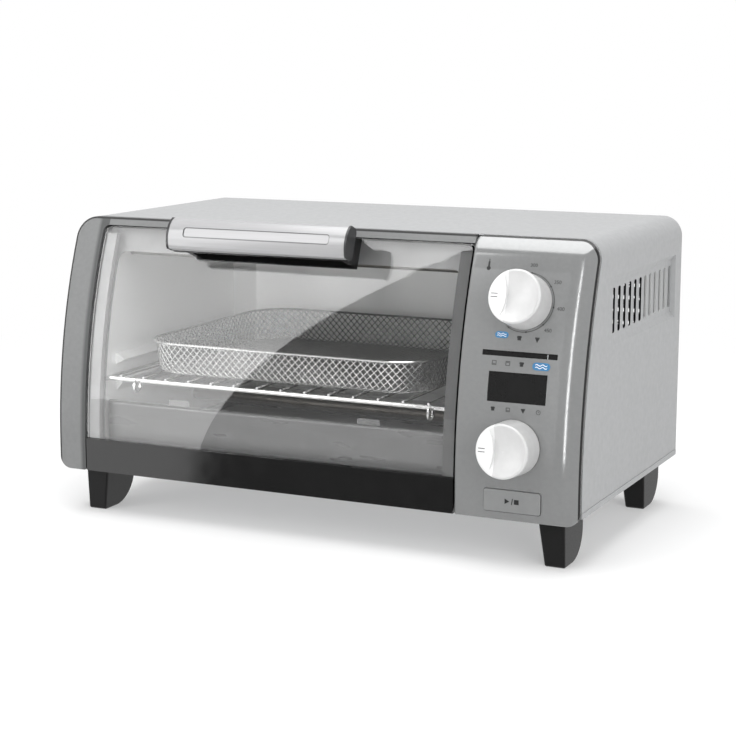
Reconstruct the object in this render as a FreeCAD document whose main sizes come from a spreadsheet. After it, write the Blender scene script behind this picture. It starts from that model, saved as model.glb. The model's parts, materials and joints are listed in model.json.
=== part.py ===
import FreeCAD, Part
import math
import os
import Sketcher

# Countertop oven with a drop-down glass door, two knobs, a start button and an air-fry basket.
#
# Frame of the model, in millimetres: X to the right, Y into the depth, Z up. The origin lies under
# the middle of the oven's box, on the surface that its feet stand on.
# Most sub-parts are drawn in the casing's own frame, whose Y = 0 is the foremost plane of the
# front and whose Z = 0 is the bottom edge of the casing, and their Placement moves them over.

doc = FreeCAD.newDocument("countertop_oven")
Vector = FreeCAD.Vector
Rotation = FreeCAD.Rotation


# Sizes and the arithmetic that keeps their expressions

class Size:
    """A number together with the sheet expression that gives it."""

    def __init__(self, value, text):
        self.value = float(value)
        self.text = text

    def __add__(self, other):
        other = as_size(other)
        return Size(self.value + other.value, f"({self.text} + {other.text})")

    def __radd__(self, other):
        return as_size(other) + self

    def __sub__(self, other):
        other = as_size(other)
        return Size(self.value - other.value, f"({self.text} - {other.text})")

    def __rsub__(self, other):
        return as_size(other) - self

    def __mul__(self, other):
        other = as_size(other)
        return Size(self.value * other.value, f"{self.text} * {other.text}")

    def __rmul__(self, other):
        return as_size(other) * self

    def __truediv__(self, other):
        other = as_size(other)
        return Size(self.value / other.value, f"{self.text} / ({other.text})")

    def __neg__(self):
        return Size(-self.value, f"(-1 * {self.text})")


def as_size(number):
    if isinstance(number, Size):
        return number
    return Size(number, f"({float(number)!r})" if number < 0 else repr(float(number)))


def root(size):
    return Size(math.sqrt(size.value), f"sqrt({size.text})")


sheet = doc.addObject("Spreadsheet::Sheet", "sizes")
sheet_rows = []


def size(alias, value, note):
    """One driving dimension: a cell with a plain number, an alias and a note."""
    sheet_rows.append(alias)
    row = len(sheet_rows)
    sheet.set(f"A{row}", str(value))
    sheet.setAlias(f"A{row}", alias)
    sheet.set(f"B{row}", note)
    return Size(value, f"sizes.{alias}")


body_width = size("body_width", 420, "casing, over its side hems")
body_height = size("body_height", 186.6, "casing, bottom edge to top face")
body_depth = size("body_depth", 231, "foremost plane of the front to the rear panel")
foot_height = size("foot_height", 38.6, "counter to the casing's bottom edge")
front_radius = size("front_radius", 426, "arc of the front, seen from the side")
front_straight = size("front_straight", 15, "height of the upright part below that arc")
corner_radius = size("corner_radius", 15, "top corners of casing and front")
lower_corner = size("lower_corner", 9, "bottom corners of the front")
front_drop = size("front_drop", 4.4, "how far the front hangs below the casing")
skin = size("skin", 1.0, "sheet steel of the casing")
liner = size("liner", 1.0, "sheet steel of the oven cavity")
hem_height = size("hem_height", 4.0, "folded hem along the sides' bottom edges")
hem_proud = size("hem_proud", 0.5, "how far that hem stands out")
bezel_plate = size("bezel_plate", 4.0, "thickness of the front's face")
seam_width = size("seam_width", 3.5, "shadow groove between front and casing")
seam_inset = size("seam_inset", 2.6, "depth of that groove")
bezel_depth = size("bezel_depth", 13.0, "face to the back of the front's rim")
pillar_width = size("pillar_width", 23.0, "left pillar of the front")
strip_height = size("strip_height", 5.6, "strip of the front above the door")
pillow_width = size("pillow_width", 13.0, "rounded border of the control panel")
pillow_drop = size("pillow_drop", 2.4, "how far that border falls back")
door_width = size("door_width", 304.0, "door, edge to edge")
door_gap = size("door_gap", 1.0, "clearance round the door")
glass_thick = size("glass_thick", 3.5, "tempered glass")
glass_recess = size("glass_recess", 1.4, "glass behind the front's face")
rail_height = size("rail_height", 25.0, "black rail along the door's bottom")
rail_depth = size("rail_depth", 10.0, "face to back of that rail")
rail_lap = size("rail_lap", 9.0, "how deep the glass sits in the rail")
hinge_back = size("hinge_back", 5.2, "hinge axis behind the foremost plane")
hinge_up = size("hinge_up", 0.6, "hinge axis above the casing's bottom edge")
hinge_pin = size("hinge_pin", 5.0, "hinge pin diameter")
hinge_fit = size("hinge_fit", 0.06, "radial play of the hinge pins")
handle_level = size("handle_level", 169.5, "handle's foot above the casing's bottom edge")
handle_length = size("handle_length", 146.0, "handle bar, over its end caps")
handle_tall = size("handle_tall", 23.0, "handle bar, up the door")
handle_reach = size("handle_reach", 37.0, "door face to the handle's front")
handle_deep = size("handle_deep", 13.5, "handle bar, front to back")
handle_foot = size("handle_foot", 131.0, "handle's foot plate, across the door")
cavity_width = size("cavity_width", 290.0, "oven cavity, wall to wall")
cavity_height = size("cavity_height", 161.0, "oven cavity, floor to roof")
cavity_floor_level = size("cavity_floor_level", 9.0, "cavity floor above the casing's bottom")
back_space = size("back_space", 13.8, "air between the cavity's back wall and the rear panel")
bulge_side = size("bulge_side", 20.0, "cavity wall to the round bulge of the back walls")
bulge_depth = size("bulge_depth", 24.0, "how far that bulge stands out")
rack_level = size("rack_level", 66.0, "rack's rails above the casing's bottom")
rack_wire = size("rack_wire", 3.4, "rack frame wire")
rack_rod = size("rack_rod", 2.0, "rack cross wires")
rack_edge = size("rack_edge", 17.6, "cavity wall to the rack's first cross wire")
basket_side = size("basket_side", 26.0, "cavity wall to the basket's rim")
basket_ahead = size("basket_ahead", 10.8, "cavity's front flange to the basket's rim")
basket_behind = size("basket_behind", 11.8, "how far the basket's rim reaches into the back wall's bulge")
basket_tall = size("basket_tall", 24.1, "basket, bottom to rim")
basket_slope = size("basket_slope", 2.6, "how far its walls draw in")
knob_across = size("knob_across", 38.4, "knob diameter")
knob_reach = size("knob_reach", 23.0, "knob, panel to front face")
knob_round = size("knob_round", 1.6, "rounded edge of a knob's face")
knob_draw = size("knob_draw", 0.4, "how far a knob narrows to its face")
knob_x = size("knob_x", 162.0, "both knobs, from the middle")
mode_level = size("mode_level", 144.0, "upper knob above the casing's bottom")
time_level = size("time_level", 46.5, "lower knob above the casing's bottom")
shaft_across = size("shaft_across", 6.0, "knob shafts")
shaft_fit = size("shaft_fit", 0.05, "radial play of the shafts")
button_width = size("button_width", 41.5, "start button")
button_height = size("button_height", 15.3, "start button")
button_level = size("button_level", 9.0, "middle of the start button")
button_travel = size("button_travel", 1.2, "start button travel")
display_width = size("display_width", 42.5, "display window")
display_height = size("display_height", 20.6, "display window")
display_level = size("display_level", 86.9, "middle of the display")
lamp_width = size("lamp_width", 54.5, "slim indicator window")
lamp_height = size("lamp_height", 3.8, "slim indicator window")
lamp_level = size("lamp_level", 109.3, "middle of the indicator window")
vent_count = size("vent_count", 12, "side vent slots")
vent_slot_tall = size("vent_slot_tall", 31.8, "side vent slot length")
vent_slot_wide = size("vent_slot_wide", 5.8, "side vent slot width")
vent_level = size("vent_level", 134.8, "middle of the side vent")
vent_start = size("vent_start", 69.5, "first slot behind the foremost plane")
vent_tail = size("vent_tail", 21.5, "last slot ahead of the rear panel")
foot_wide = size("foot_wide", 20.0, "foot, across its top")
foot_long = size("foot_long", 40.0, "foot, front to back")
foot_inset = size("foot_inset", 14.0, "casing side to the foot's outer face")
foot_front = size("foot_front", 13.0, "front feet behind the foremost plane")
foot_tail = size("foot_tail", 37.0, "front of the rear feet ahead of the rear panel")
bottom_flange = size("bottom_flange", 33.0, "in-turned bottom of the casing's sides")
rear_flange = size("rear_flange", 11.0, "in-turned rear of the casing")
screw_shank = size("screw_shank", 3.5, "sheet-metal screws")
screw_head = size("screw_head", 7.0, "sheet-metal screw heads")
screw_play = size("screw_play", 0.1, "radial play of the screws in their holes")
gland_x = size("gland_x", 176.0, "cord gland, from the middle")
gland_level = size("gland_level", 26.0, "cord gland above the casing's bottom")
gland_neck = size("gland_neck", 12.0, "cord gland's neck")
tube_across = size("tube_across", 9.0, "heating tubes")
upper_tubes = size("upper_tubes", 160.0, "upper heating tubes above the casing's bottom")
lower_tubes = size("lower_tubes", 30.0, "lower heating tubes above the casing's bottom")
tube_front = size("tube_front", 62.0, "front pair of tubes behind the foremost plane")
tube_rear = size("tube_rear", 152.0, "rear pair of tubes behind the foremost plane")
fan_depth = size("fan_depth", 118.0, "fan's axis behind the foremost plane")
fan_level = size("fan_level", 106.0, "fan's axis above the casing's bottom")
fan_across = size("fan_across", 78.0, "fan wheel")
basket_corner = size("basket_corner", 33.0, "basket's corners, at its rim")
rim_wire = size("rim_wire", 1.8, "basket's rim wire")
strip_width = size("strip_width", 9.0, "steel strips behind the glass")
end_cap = size("end_cap", 1.6, "handle's end caps")
curved_seat = size("curved_seat", 0.1, "play between curved faces that seat on each other")
wire_sink = size("wire_sink", 0.3, "how deep the rack's cross wires are welded into its rails")
basket_play = size("basket_play", 0.3, "basket above the rack's cross wires")
probe_ahead = size("probe_ahead", 41.2, "temperature probe ahead of the cavity's back wall")
probe_level = size("probe_level", 128.0, "temperature probe above the casing's bottom")
probe_across = size("probe_across", 4.0, "temperature probe")
boss_across = size("boss_across", 5.0, "bosses behind the panel that carry the boards")
board_depth = size("board_depth", 12.0, "control board behind the panel's face")
switch_depth = size("switch_depth", 14.0, "start switch's board behind the panel's face")
tray_front = size("tray_front", 48.5, "top of the crumb tray's front wall above the casing's bottom")
tray_tab = size("tray_tab", 18.0, "width of that wall's finger tabs")
tray_tab_rise = size("tray_tab_rise", 4.4, "height of those tabs")
tray_tab_inset = size("tray_tab_inset", 57.0, "cavity wall to the first tab")
opening_top = size("opening_top", 160.5, "top of the cavity's opening above the casing's bottom")
ridge_out = size("ridge_out", 8.2, "how far the cavity's ridges stand out from its side walls")
ridge_start = size("ridge_start", 20.0, "cavity's front edge to those ridges")
button_round = size("button_round", 1.8, "start button's corners")
crease_round = size("crease_round", 4.0, "rounded creases beside the cavity back's bulge")
doc.recompute()

half_width = body_width / 2
side_face = half_width - hem_proud
side_inner = side_face - skin
seam_back = bezel_plate + seam_width
door_left = -half_width + pillar_width + door_gap
door_right = door_left + door_width
door_middle = (door_left + door_right) / 2
panel_left = door_right + door_gap
door_top = body_height - strip_height - door_gap
cavity_middle = door_middle
cavity_left = cavity_middle - cavity_width / 2
cavity_right = cavity_middle + cavity_width / 2
bulge_width = cavity_width - bulge_side * 2
cavity_roof = cavity_floor_level + cavity_height
cavity_front = bezel_depth + curved_seat * 2 + liner
cavity_back = body_depth - back_space
vent_pitch = (body_depth - vent_start - vent_tail) / (vent_count - 1)
foot_rear = body_depth - foot_tail
probe_depth = cavity_back - probe_ahead
basket_width = cavity_width - basket_side * 2
basket_front = cavity_front + basket_ahead
basket_length = cavity_back + basket_behind - basket_front
basket_middle = basket_front + basket_length / 2
base_top = skin * 2


def front_at(level, behind=0.0):
    """Depth of the front's face at a level on its arc, or of a surface parallel to it."""
    reach = front_radius - behind
    up = level - front_straight
    return front_radius - root(reach * reach - up * up)


def lean(level):
    """Sine of the angle by which the front leans back at a level."""
    return (level - front_straight) / front_radius


# The lower knob's rim is the foremost point and the rear bulge the rearmost, and the origin lies
# midway between them.
knob_lean = lean(time_level)
knob_front = (front_at(time_level) - (knob_reach - knob_round) * root(1 - knob_lean * knob_lean)
              - (knob_across / 2 - knob_draw - knob_round) * knob_lean - knob_round)
rear_end = body_depth + bulge_depth
front_y = -(knob_front + rear_end) / 2


# Objects of the document

sub_parts = []


def finish(obj, label, place=True):
    """Name a sub-part, and move it from the casing's frame to the model's frame."""
    obj.Label = label
    if place:
        obj.setExpression("Placement.Base.y", front_y.text)
        obj.setExpression("Placement.Base.z", foot_height.text)
    sub_parts.append(obj)
    return obj


def lean_with_front(obj, label, across, level, behind=0.0):
    """Stand a sub-part on the front: its own Z points out of the face, its own Y up the face."""
    tilt = lean(level)
    obj.Label = label
    obj.Placement = FreeCAD.Placement(Vector(), Rotation(Vector(1, 0, 0), 45))
    obj.setExpression("Placement.Rotation.Angle", f"acos({tilt.text})")
    obj.setExpression("Placement.Base.x", as_size(across).text)
    obj.setExpression("Placement.Base.y", (front_y + front_at(level, behind)).text)
    obj.setExpression("Placement.Base.z", (foot_height + front_straight
                                           + (front_radius - behind) * tilt).text)
    sub_parts.append(obj)
    return obj


def bind(obj, **values):
    """Bind properties to the sheet."""
    for name, value in values.items():
        obj.setExpression(name, as_size(value).text)


def make_body(name):
    return doc.addObject("PartDesign::Body", name)


def outline(name, plane, corners, lift=0.0, body=None, arcs=None, more=()):
    """Closed outline on an origin plane, each corner bound to the sheet.

    A corner is (across, up) or (across, up, radius). arcs gives, for the side that starts at a
    corner's number, the centre and radius of the arc that it is. more holds further outlines.
    """
    if body is None:
        sketch = doc.addObject("Sketcher::SketchObject", name)
        turns = {"XY_Plane": Rotation(), "XZ_Plane": Rotation(Vector(1, 0, 0), 90),
                 "YZ_Plane": Rotation(Vector(1, 1, 1), 120)}
        sketch.Placement = FreeCAD.Placement(Vector(), turns[plane])
        axis = {"XY_Plane": "z", "XZ_Plane": "y", "YZ_Plane": "x"}[plane]
        if as_size(lift).value:
            sketch.setExpression(f"Placement.Base.{axis}", as_size(lift).text)
    else:
        sketch = body.newObject("Sketcher::SketchObject", name)
        origin = [item for item in body.Origin.OriginFeatures if item.Role == plane]
        sketch.AttachmentSupport = [(origin[0], "")]
        sketch.MapMode = "FlatFace"
        if as_size(lift).value:
            sign = -1 if plane == "XZ_Plane" else 1
            sketch.setExpression("AttachmentOffset.Base.z", (as_size(lift) * sign).text)
    draw_loop(sketch, corners, arcs or {})
    for loop in more:
        draw_loop(sketch, loop, {})
    return sketch


def draw_loop(sketch, corners, arcs):
    """Lines and arcs of one closed outline, with their constraints."""
    count = len(corners)
    points = [Vector(as_size(c[0]).value, as_size(c[1]).value, 0) for c in corners]
    starts = list(points)
    ends = [points[(i + 1) % count] for i in range(count)]
    rounds = {i: as_size(c[2]) for i, c in enumerate(corners) if len(c) > 2 and as_size(c[2]).value > 0}
    for i, radius in rounds.items():
        before = (points[i - 1] - points[i]).normalize()
        after = (points[(i + 1) % count] - points[i]).normalize()
        reach = radius.value / math.tan(before.getAngle(after) / 2)
        ends[i - 1] = points[i] + before * reach
        starts[i] = points[i] + after * reach
    sides = []
    for i in range(count):
        if i in arcs:
            centre, radius, middle = arc_values(arcs[i], starts[i], ends[i])
            curve = Part.Arc(starts[i], middle, ends[i])
        else:
            curve = Part.LineSegment(starts[i], ends[i])
        sides.append(sketch.addGeometry(curve))
    fix = sketch.addConstraint
    for i in range(count):
        if i in arcs:
            flip = reversed_arc(sketch, sides[i], starts[i])
            arcs[i] = arcs[i][:3] + (flip,)
    for i in range(count):
        last = (i - 1) % count
        start_side = 2 if i in arcs and arcs[i][3] else 1
        end_side = 1 if last in arcs and arcs[last][3] else 2
        if i in rounds:
            corner = sketch.addGeometry(Part.Point(points[i]), True)
            pin(sketch, corner, 1, corners[i], True, True)
            fix(Sketcher.Constraint("PointOnObject", corner, 1, sides[last]))
            fix(Sketcher.Constraint("PointOnObject", corner, 1, sides[i]))
            bend = sketch.addGeometry(corner_arc(points[i], ends[last], starts[i], rounds[i].value))
            turned = reversed_arc(sketch, bend, ends[last])
            first, second = (2, 1) if turned else (1, 2)
            fix(Sketcher.Constraint("Tangent", sides[last], end_side, bend, first))
            fix(Sketcher.Constraint("Tangent", bend, second, sides[i], start_side))
            number = fix(Sketcher.Constraint("Radius", bend, rounds[i].value))
            sketch.setExpression(f"Constraints[{number}]", rounds[i].text)
        elif i in arcs and last in arcs:
            fix(Sketcher.Constraint("Tangent", sides[last], end_side, sides[i], start_side))
            pin(sketch, sides[i], start_side, corners[i], False, True)
        else:
            fix(Sketcher.Constraint("Coincident", sides[last], end_side, sides[i], start_side))
            steep = i in arcs or last in arcs
            if steep:
                arc = arcs[i] if i in arcs else arcs[last]
                spoke = points[i] - Vector(as_size(arc[0]).value, as_size(arc[1]).value, 0)
                steep = abs(spoke.x) >= abs(spoke.y)
                pin(sketch, sides[i], start_side, corners[i], not steep, steep)
            else:
                pin(sketch, sides[i], start_side, corners[i], True, True)
    for i, (across, up, radius, _) in arcs.items():
        if (i - 1) % count not in arcs:
            pin(sketch, sides[i], 3, (across, up), True, True)
        number = fix(Sketcher.Constraint("Radius", sides[i], as_size(radius).value))
        sketch.setExpression(f"Constraints[{number}]", as_size(radius).text)


def arc_values(arc, start, end):
    """Centre, radius and the middle point of an arc side, on the side of its shorter way."""
    centre = Vector(as_size(arc[0]).value, as_size(arc[1]).value, 0)
    radius = as_size(arc[2]).value
    towards = (start + end) * 0.5 - centre
    return centre, radius, centre + towards.normalize() * radius


def corner_arc(corner, start, end, radius):
    """Arc that rounds a corner, from one side's end to the next side's start."""
    inward = ((start + end) * 0.5 - corner).normalize()
    half = (start - corner).getAngle(end - corner) / 2
    middle = corner + inward * (radius / math.sin(half) - radius)
    return Part.Arc(start, middle, end)


def reversed_arc(sketch, number, start):
    """Whether the sketch keeps an arc with its start and end the other way round."""
    return sketch.getPoint(number, 1).distanceToPoint(start) > 1e-6


def pin(sketch, geometry, point, place, across, up):
    """Hold a point at its place on the sheet."""
    for wanted, kind, value in ((across, "DistanceX", place[0]), (up, "DistanceY", place[1])):
        if wanted:
            value = as_size(value)
            number = sketch.addConstraint(
                Sketcher.Constraint(kind, -1, 1, geometry, point, value.value))
            sketch.setExpression(f"Constraints[{number}]", value.text)


def circles(name, plane, rounds, lift=0.0, body=None):
    """Sketch of circles, each (across, up, diameter)."""
    sketch = outline(name, plane, [], lift, body)
    for across, up, diameter in rounds:
        centre = Vector(as_size(across).value, as_size(up).value, 0)
        radius = as_size(diameter) / 2
        number = sketch.addGeometry(Part.Circle(centre, Vector(0, 0, 1), radius.value))
        pin(sketch, number, 3, (across, up), True, True)
        held = sketch.addConstraint(Sketcher.Constraint("Radius", number, radius.value))
        sketch.setExpression(f"Constraints[{held}]", radius.text)
    return sketch


def extrusion(name, sketch, direction, length):
    solid = doc.addObject("Part::Extrusion", name)
    solid.Base = sketch
    solid.DirMode = "Custom"
    solid.Dir = direction
    solid.Solid = True
    bind(solid, LengthFwd=length)
    return solid


def slab(name, plane, corners, start, length, arcs=None, more=()):
    """Solid from an outline, standing from its start along the plane's own axis."""
    direction = {"XY_Plane": Vector(0, 0, 1), "XZ_Plane": Vector(0, 1, 0), "YZ_Plane": Vector(1, 0, 0)}
    sketch = outline(name + "_outline", plane, corners, start, None, arcs, more)
    return extrusion(name, sketch, direction[plane], length)


def boolean(kind, name, base, tool):
    result = doc.addObject("Part::" + kind, name)
    result.Base = base
    result.Tool = tool
    return result


def fuse(name, *shapes):
    result = doc.addObject("Part::MultiFuse", name)
    result.Shapes = list(shapes)
    return result


def common(name, first, *others):
    for number, other in enumerate(others, 1):
        first = boolean("Common", name if number == len(others) else f"{name}_{number}", first, other)
    return first


def cut(name, base, *tools):
    tool = tools[0] if len(tools) == 1 else group(name + "_tools", tools)
    return boolean("Cut", name, base, tool)


def group(name, shapes):
    """Separate solids of one node, or the tools of one cut."""
    compound = doc.addObject("Part::Compound", name)
    compound.Links = list(shapes)
    return compound


def on_front(across, level, right=0.0, up=0.0, out=0.0):
    """Point given in the leaning frame of the front: right along it, up its face, out of it."""
    tilt = lean(level)
    flat = root(1 - tilt * tilt)
    along_y = front_at(level) + as_size(up) * tilt - as_size(out) * flat
    along_z = as_size(level) + as_size(up) * flat + as_size(out) * tilt
    return as_size(across) + right, along_y, along_z


def stand(obj, point, level=None, axis=None, turn=0.0):
    """Place a primitive at a point of the casing's frame, upright, turned, or leaning."""
    if level is not None:
        obj.Placement = FreeCAD.Placement(Vector(), Rotation(Vector(1, 0, 0), 45))
        obj.setExpression("Placement.Rotation.Angle", f"acos({lean(level).text})")
    elif axis is not None:
        obj.Placement = FreeCAD.Placement(Vector(), Rotation(axis, turn))
    for letter, value in zip("xyz", point):
        obj.setExpression(f"Placement.Base.{letter}", as_size(value).text)
    return obj


def box(name, corner, length, width, height):
    """Upright box from its lowest corner: length in X, width in Y, height in Z."""
    solid = doc.addObject("Part::Box", name)
    bind(solid, Length=length, Width=width, Height=height)
    return stand(solid, corner)


def button_block(name, around, start, deep):
    """Rounded block through the front at the start button's place, wider than it all around."""
    wide = button_width / 2 + around
    tall = button_height / 2 + around
    corner = button_round + around
    return slab(name, "XZ_Plane",
                [(knob_x - wide, button_level - tall, corner), (knob_x - wide, button_level + tall, corner),
                 (knob_x + wide, button_level + tall, corner), (knob_x + wide, button_level - tall, corner)],
                start, deep)


def front_box(name, across, level, width, height, back, out, right=0.0, up=0.0):
    """Box that leans with the front: from its depth behind the face to how far it stands out."""
    solid = doc.addObject("Part::Box", name)
    bind(solid, Length=width, Width=height, Height=as_size(back) + out)
    corner = on_front(across, level, as_size(right) - as_size(width) / 2,
                      as_size(up) - as_size(height) / 2, -as_size(back))
    return stand(solid, corner, level)


def rod(name, point, diameter, length, along="Z"):
    """Cylinder from the middle of its near end along X, Y or Z."""
    solid = doc.addObject("Part::Cylinder", name)
    bind(solid, Radius=as_size(diameter) / 2, Height=length)
    turns = {"X": (Vector(0, 1, 0), 90), "Y": (Vector(1, 0, 0), -90), "Z": (Vector(0, 0, 1), 0)}
    axis, turn = turns[along]
    return stand(solid, point, None, axis, turn)


def front_rod(name, across, level, diameter, back, out, right=0.0, up=0.0):
    """Cylinder square to the front: from its depth behind the face to how far it stands out."""
    solid = doc.addObject("Part::Cylinder", name)
    bind(solid, Radius=as_size(diameter) / 2, Height=as_size(back) + out)
    return stand(solid, on_front(across, level, right, up, -as_size(back)), level)


def front_band(name, near, far, left, width, low, high):
    """Layer of the front between two depths behind its face, as wide and tall as asked."""
    near = as_size(near)
    far = as_size(far)
    low = as_size(low)
    near_arc = (front_radius, front_straight, front_radius - near)
    far_arc = (front_radius, front_straight, front_radius - far)
    top = [(front_at(high, near), high), (front_at(high, far), high)]
    if low.value < front_straight.value:
        corners = [(near, low), (near, front_straight)] + top + [(far, front_straight), (far, low)]
        arcs = {1: near_arc, 3: far_arc}
    else:
        corners = [(front_at(low, near), low)] + top + [(front_at(low, far), low)]
        arcs = {0: near_arc, 2: far_arc}
    return slab(name, "YZ_Plane", corners, left, width, arcs)


def pad(body, name, sketch, length, backwards=False):
    feature = body.newObject("PartDesign::Pad", name)
    feature.Profile = sketch
    feature.Reversed = backwards
    bind(feature, Length=length)
    return feature


def pocket(body, name, sketch, length=None, backwards=False):
    """Pocket to a length, or through everything on both sides of its sketch."""
    feature = body.newObject("PartDesign::Pocket", name)
    feature.Profile = sketch
    feature.Reversed = backwards
    if length is None:
        feature.Type = "ThroughAll"
        feature.Midplane = True
    else:
        bind(feature, Length=length)
    return feature


def edges_where(shape, wanted):
    """Names of the edges whose middle point and direction suit a rule."""
    names = []
    for number, edge in enumerate(shape.Edges, 1):
        middle = edge.valueAt((edge.FirstParameter + edge.LastParameter) / 2)
        direction = edge.tangentAt((edge.FirstParameter + edge.LastParameter) / 2)
        if wanted(middle, direction, edge):
            names.append(f"Edge{number}")
    return names


def round_edges(body, name, radius, wanted):
    """Fillet of a body on the edges that suit a rule."""
    doc.recompute()
    base = body.Tip
    feature = body.newObject("PartDesign::Fillet", name)
    feature.Base = (base, edges_where(base.Shape, wanted))
    bind(feature, Radius=radius)
    return feature


def along(direction, axis):
    return abs(direction.dot(axis)) > 0.99


X_AXIS = Vector(1, 0, 0)
Y_AXIS = Vector(0, 1, 0)
Z_AXIS = Vector(0, 0, 1)


def foot_screw_places():
    """Middle of each foot's top, across and behind the foremost plane."""
    across = side_face - foot_inset - foot_wide / 2
    return [(across * side, start + foot_long / 2) for side in (-1, 1)
            for start in (foot_front, foot_rear)]


def rear_screw_places():
    """Screws of the rear panel, across and up."""
    across = side_inner - rear_flange / 2
    low = as_size(9.0)
    high = body_height - skin - rear_flange / 2
    return [(across * side, up) for side in (-1, 1) for up in (low, body_height / 2)] + [
        (across * side * 0.86, high) for side in (-1, 1)] + [(as_size(0.0), high)]


def board_boss_places():
    """Bosses of the control board, across and up from the middle of the display."""
    return [(side * 30.0, up) for side in (-1, 1) for up in (-26.0, 27.3)]


def switch_boss_places():
    """Bosses of the start switch's board, across from the knobs' line."""
    return [-26.0, 26.0]


# Casing wrap: top and both sides from one bent sheet

def make_casing():
    body = make_body("casing")
    fold = side_inner - bottom_flange
    ring = [(-side_face, 0.0), (-side_face, body_height, corner_radius),
            (side_face, body_height, corner_radius), (side_face, 0.0), (fold, 0.0), (fold, skin),
            (side_inner, skin), (side_inner, body_height - skin, corner_radius - skin),
            (-side_inner, body_height - skin, corner_radius - skin), (-side_inner, skin),
            (-fold, skin), (-fold, 0.0)]
    bent = outline("casing_bend", "XZ_Plane", ring, 0.0, body)
    pad(body, "casing_sheet", bent, body_depth - skin, True)
    hems = outline("casing_hems", "XZ_Plane",
                   [(-half_width, 0.0), (-half_width, hem_height), (-side_face, hem_height),
                    (-side_face, 0.0)], 0.0, body, None,
                   [[(side_face, 0.0), (side_face, hem_height), (half_width, hem_height),
                     (half_width, 0.0)]])
    pad(body, "casing_hem", hems, body_depth - skin, True)
    inset = side_inner - rear_flange
    flange = outline("casing_rear_fold", "XZ_Plane",
                     [(-side_face, 0.0), (-side_face, body_height, corner_radius),
                      (side_face, body_height, corner_radius), (side_face, 0.0), (inset, 0.0),
                      (inset, body_height - skin - rear_flange, 3.0),
                      (-inset, body_height - skin - rear_flange, 3.0), (-inset, 0.0)],
                     body_depth - skin * 2, body)
    pad(body, "casing_rear_flange", flange, skin, True)
    notch = outline("casing_foot_notch", "XZ_Plane",
                    [(-side_inner, -1.0), (-side_inner, skin), (side_inner, skin),
                     (side_inner, -1.0)], 0.0, body)
    pocket(body, "casing_front_notch", notch, cavity_front)
    # The vent's floor slopes in from the front and comes back steeply behind the last slot.
    vent_end = vent_start + vent_pitch * (vent_count - 1)
    wall = as_size(1.2)
    depth_front = as_size(1.0)
    depth_rear = as_size(3.0)
    fall = (depth_rear - depth_front) / (vent_end - vent_start + 10)
    slope = f"atan({fall.text})"

    def rectangle(margin, front_extra, rear_extra):
        low = vent_level - vent_slot_tall / 2 - margin
        high = vent_level + vent_slot_tall / 2 + margin
        front = vent_start - front_extra
        rear = vent_end + rear_extra
        return [(front, low), (front, high), (rear, high), (rear, low)]

    def ramp(name, inset, margin, front_extra, rear_extra):
        sketch = outline(name, "YZ_Plane", rectangle(margin, front_extra, rear_extra), 1.0, body)
        sketch.setExpression("AttachmentOffset.Base.z",
                             (side_face - inset - depth_front + fall * (vent_start - 5)).text)
        sketch.AttachmentOffset.Rotation = Rotation(Vector(0, 1, 0), 2)
        sketch.AttachmentOffset = FreeCAD.Placement(sketch.AttachmentOffset.Base,
                                                    Rotation(Vector(0, 1, 0), 2))
        sketch.setExpression("AttachmentOffset.Rotation.Angle", slope)
        return sketch

    outer = outline("vent_back", "YZ_Plane", rectangle(9.6, 6.0, 8.2), side_inner, body)
    inner = ramp("vent_back_floor", wall, 5.4, 5.0, 6.6)
    swell = body.newObject("PartDesign::AdditiveLoft", "vent_swell")
    swell.Profile = outer
    swell.Sections = [inner]
    swell.Ruled = True
    mouth = outline("vent_mouth", "YZ_Plane", rectangle(8.2, 5.0, 6.5), side_face, body)
    floor = ramp("vent_floor", 0.0, 4.0, 4.0, 5.0)
    dish = body.newObject("PartDesign::SubtractiveLoft", "vent_dish")
    dish.Profile = mouth
    dish.Sections = [floor]
    dish.Ruled = True
    slot_low = vent_level - vent_slot_tall / 2
    slot_high = vent_level + vent_slot_tall / 2
    slot = outline("vent_slot", "YZ_Plane",
                   [(vent_start - vent_slot_wide / 2, slot_low, 1.9),
                    (vent_start - vent_slot_wide / 2, slot_high, 1.9),
                    (vent_start + vent_slot_wide / 2, slot_high, 1.9),
                    (vent_start + vent_slot_wide / 2, slot_low, 1.9)], side_face + 1, body)
    slots = pocket(body, "vent_slot_cut", slot, 16.0)
    row = body.newObject("PartDesign::LinearPattern", "vent_slots")
    row.Originals = [slots]
    row.Direction = (slot, ["H_Axis"])
    bind(row, Length=vent_pitch * (vent_count - 1), Occurrences=vent_count)
    body.Tip = row
    high = body_height + 5
    front = outline("casing_front_edge", "YZ_Plane",
                    [(-5.0, -5.0), (seam_back, -5.0), (seam_back, front_straight),
                     (front_at(high, seam_back), high), (-5.0, high)], 0.0, body,
                    {2: (front_radius, front_straight, front_radius - seam_back)})
    pocket(body, "casing_front_cut", front)
    holes = circles("casing_foot_holes", "XY_Plane",
                    [(across, depth, screw_shank + screw_play * 2) for across, depth in foot_screw_places()],
                    0.0, body)
    pocket(body, "casing_foot_drill", holes, skin * 1.5, True)
    rear = circles("casing_rear_holes", "XZ_Plane",
                   [(across, up, screw_shank + screw_play * 2) for across, up in rear_screw_places()],
                   body_depth, body)
    pocket(body, "casing_rear_drill", rear, skin * 2.5, True)
    return finish(body, "casing_wrap")


# Front: a frame round the door, and the control panel beside it

def front_outline(left, right, low, high, radii):
    """Rounded outline of a front piece."""
    low_left, high_left, high_right, low_right = radii
    return [(left, low, low_left), (left, high, high_left), (right, high, high_right),
            (right, low, low_right)]


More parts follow.
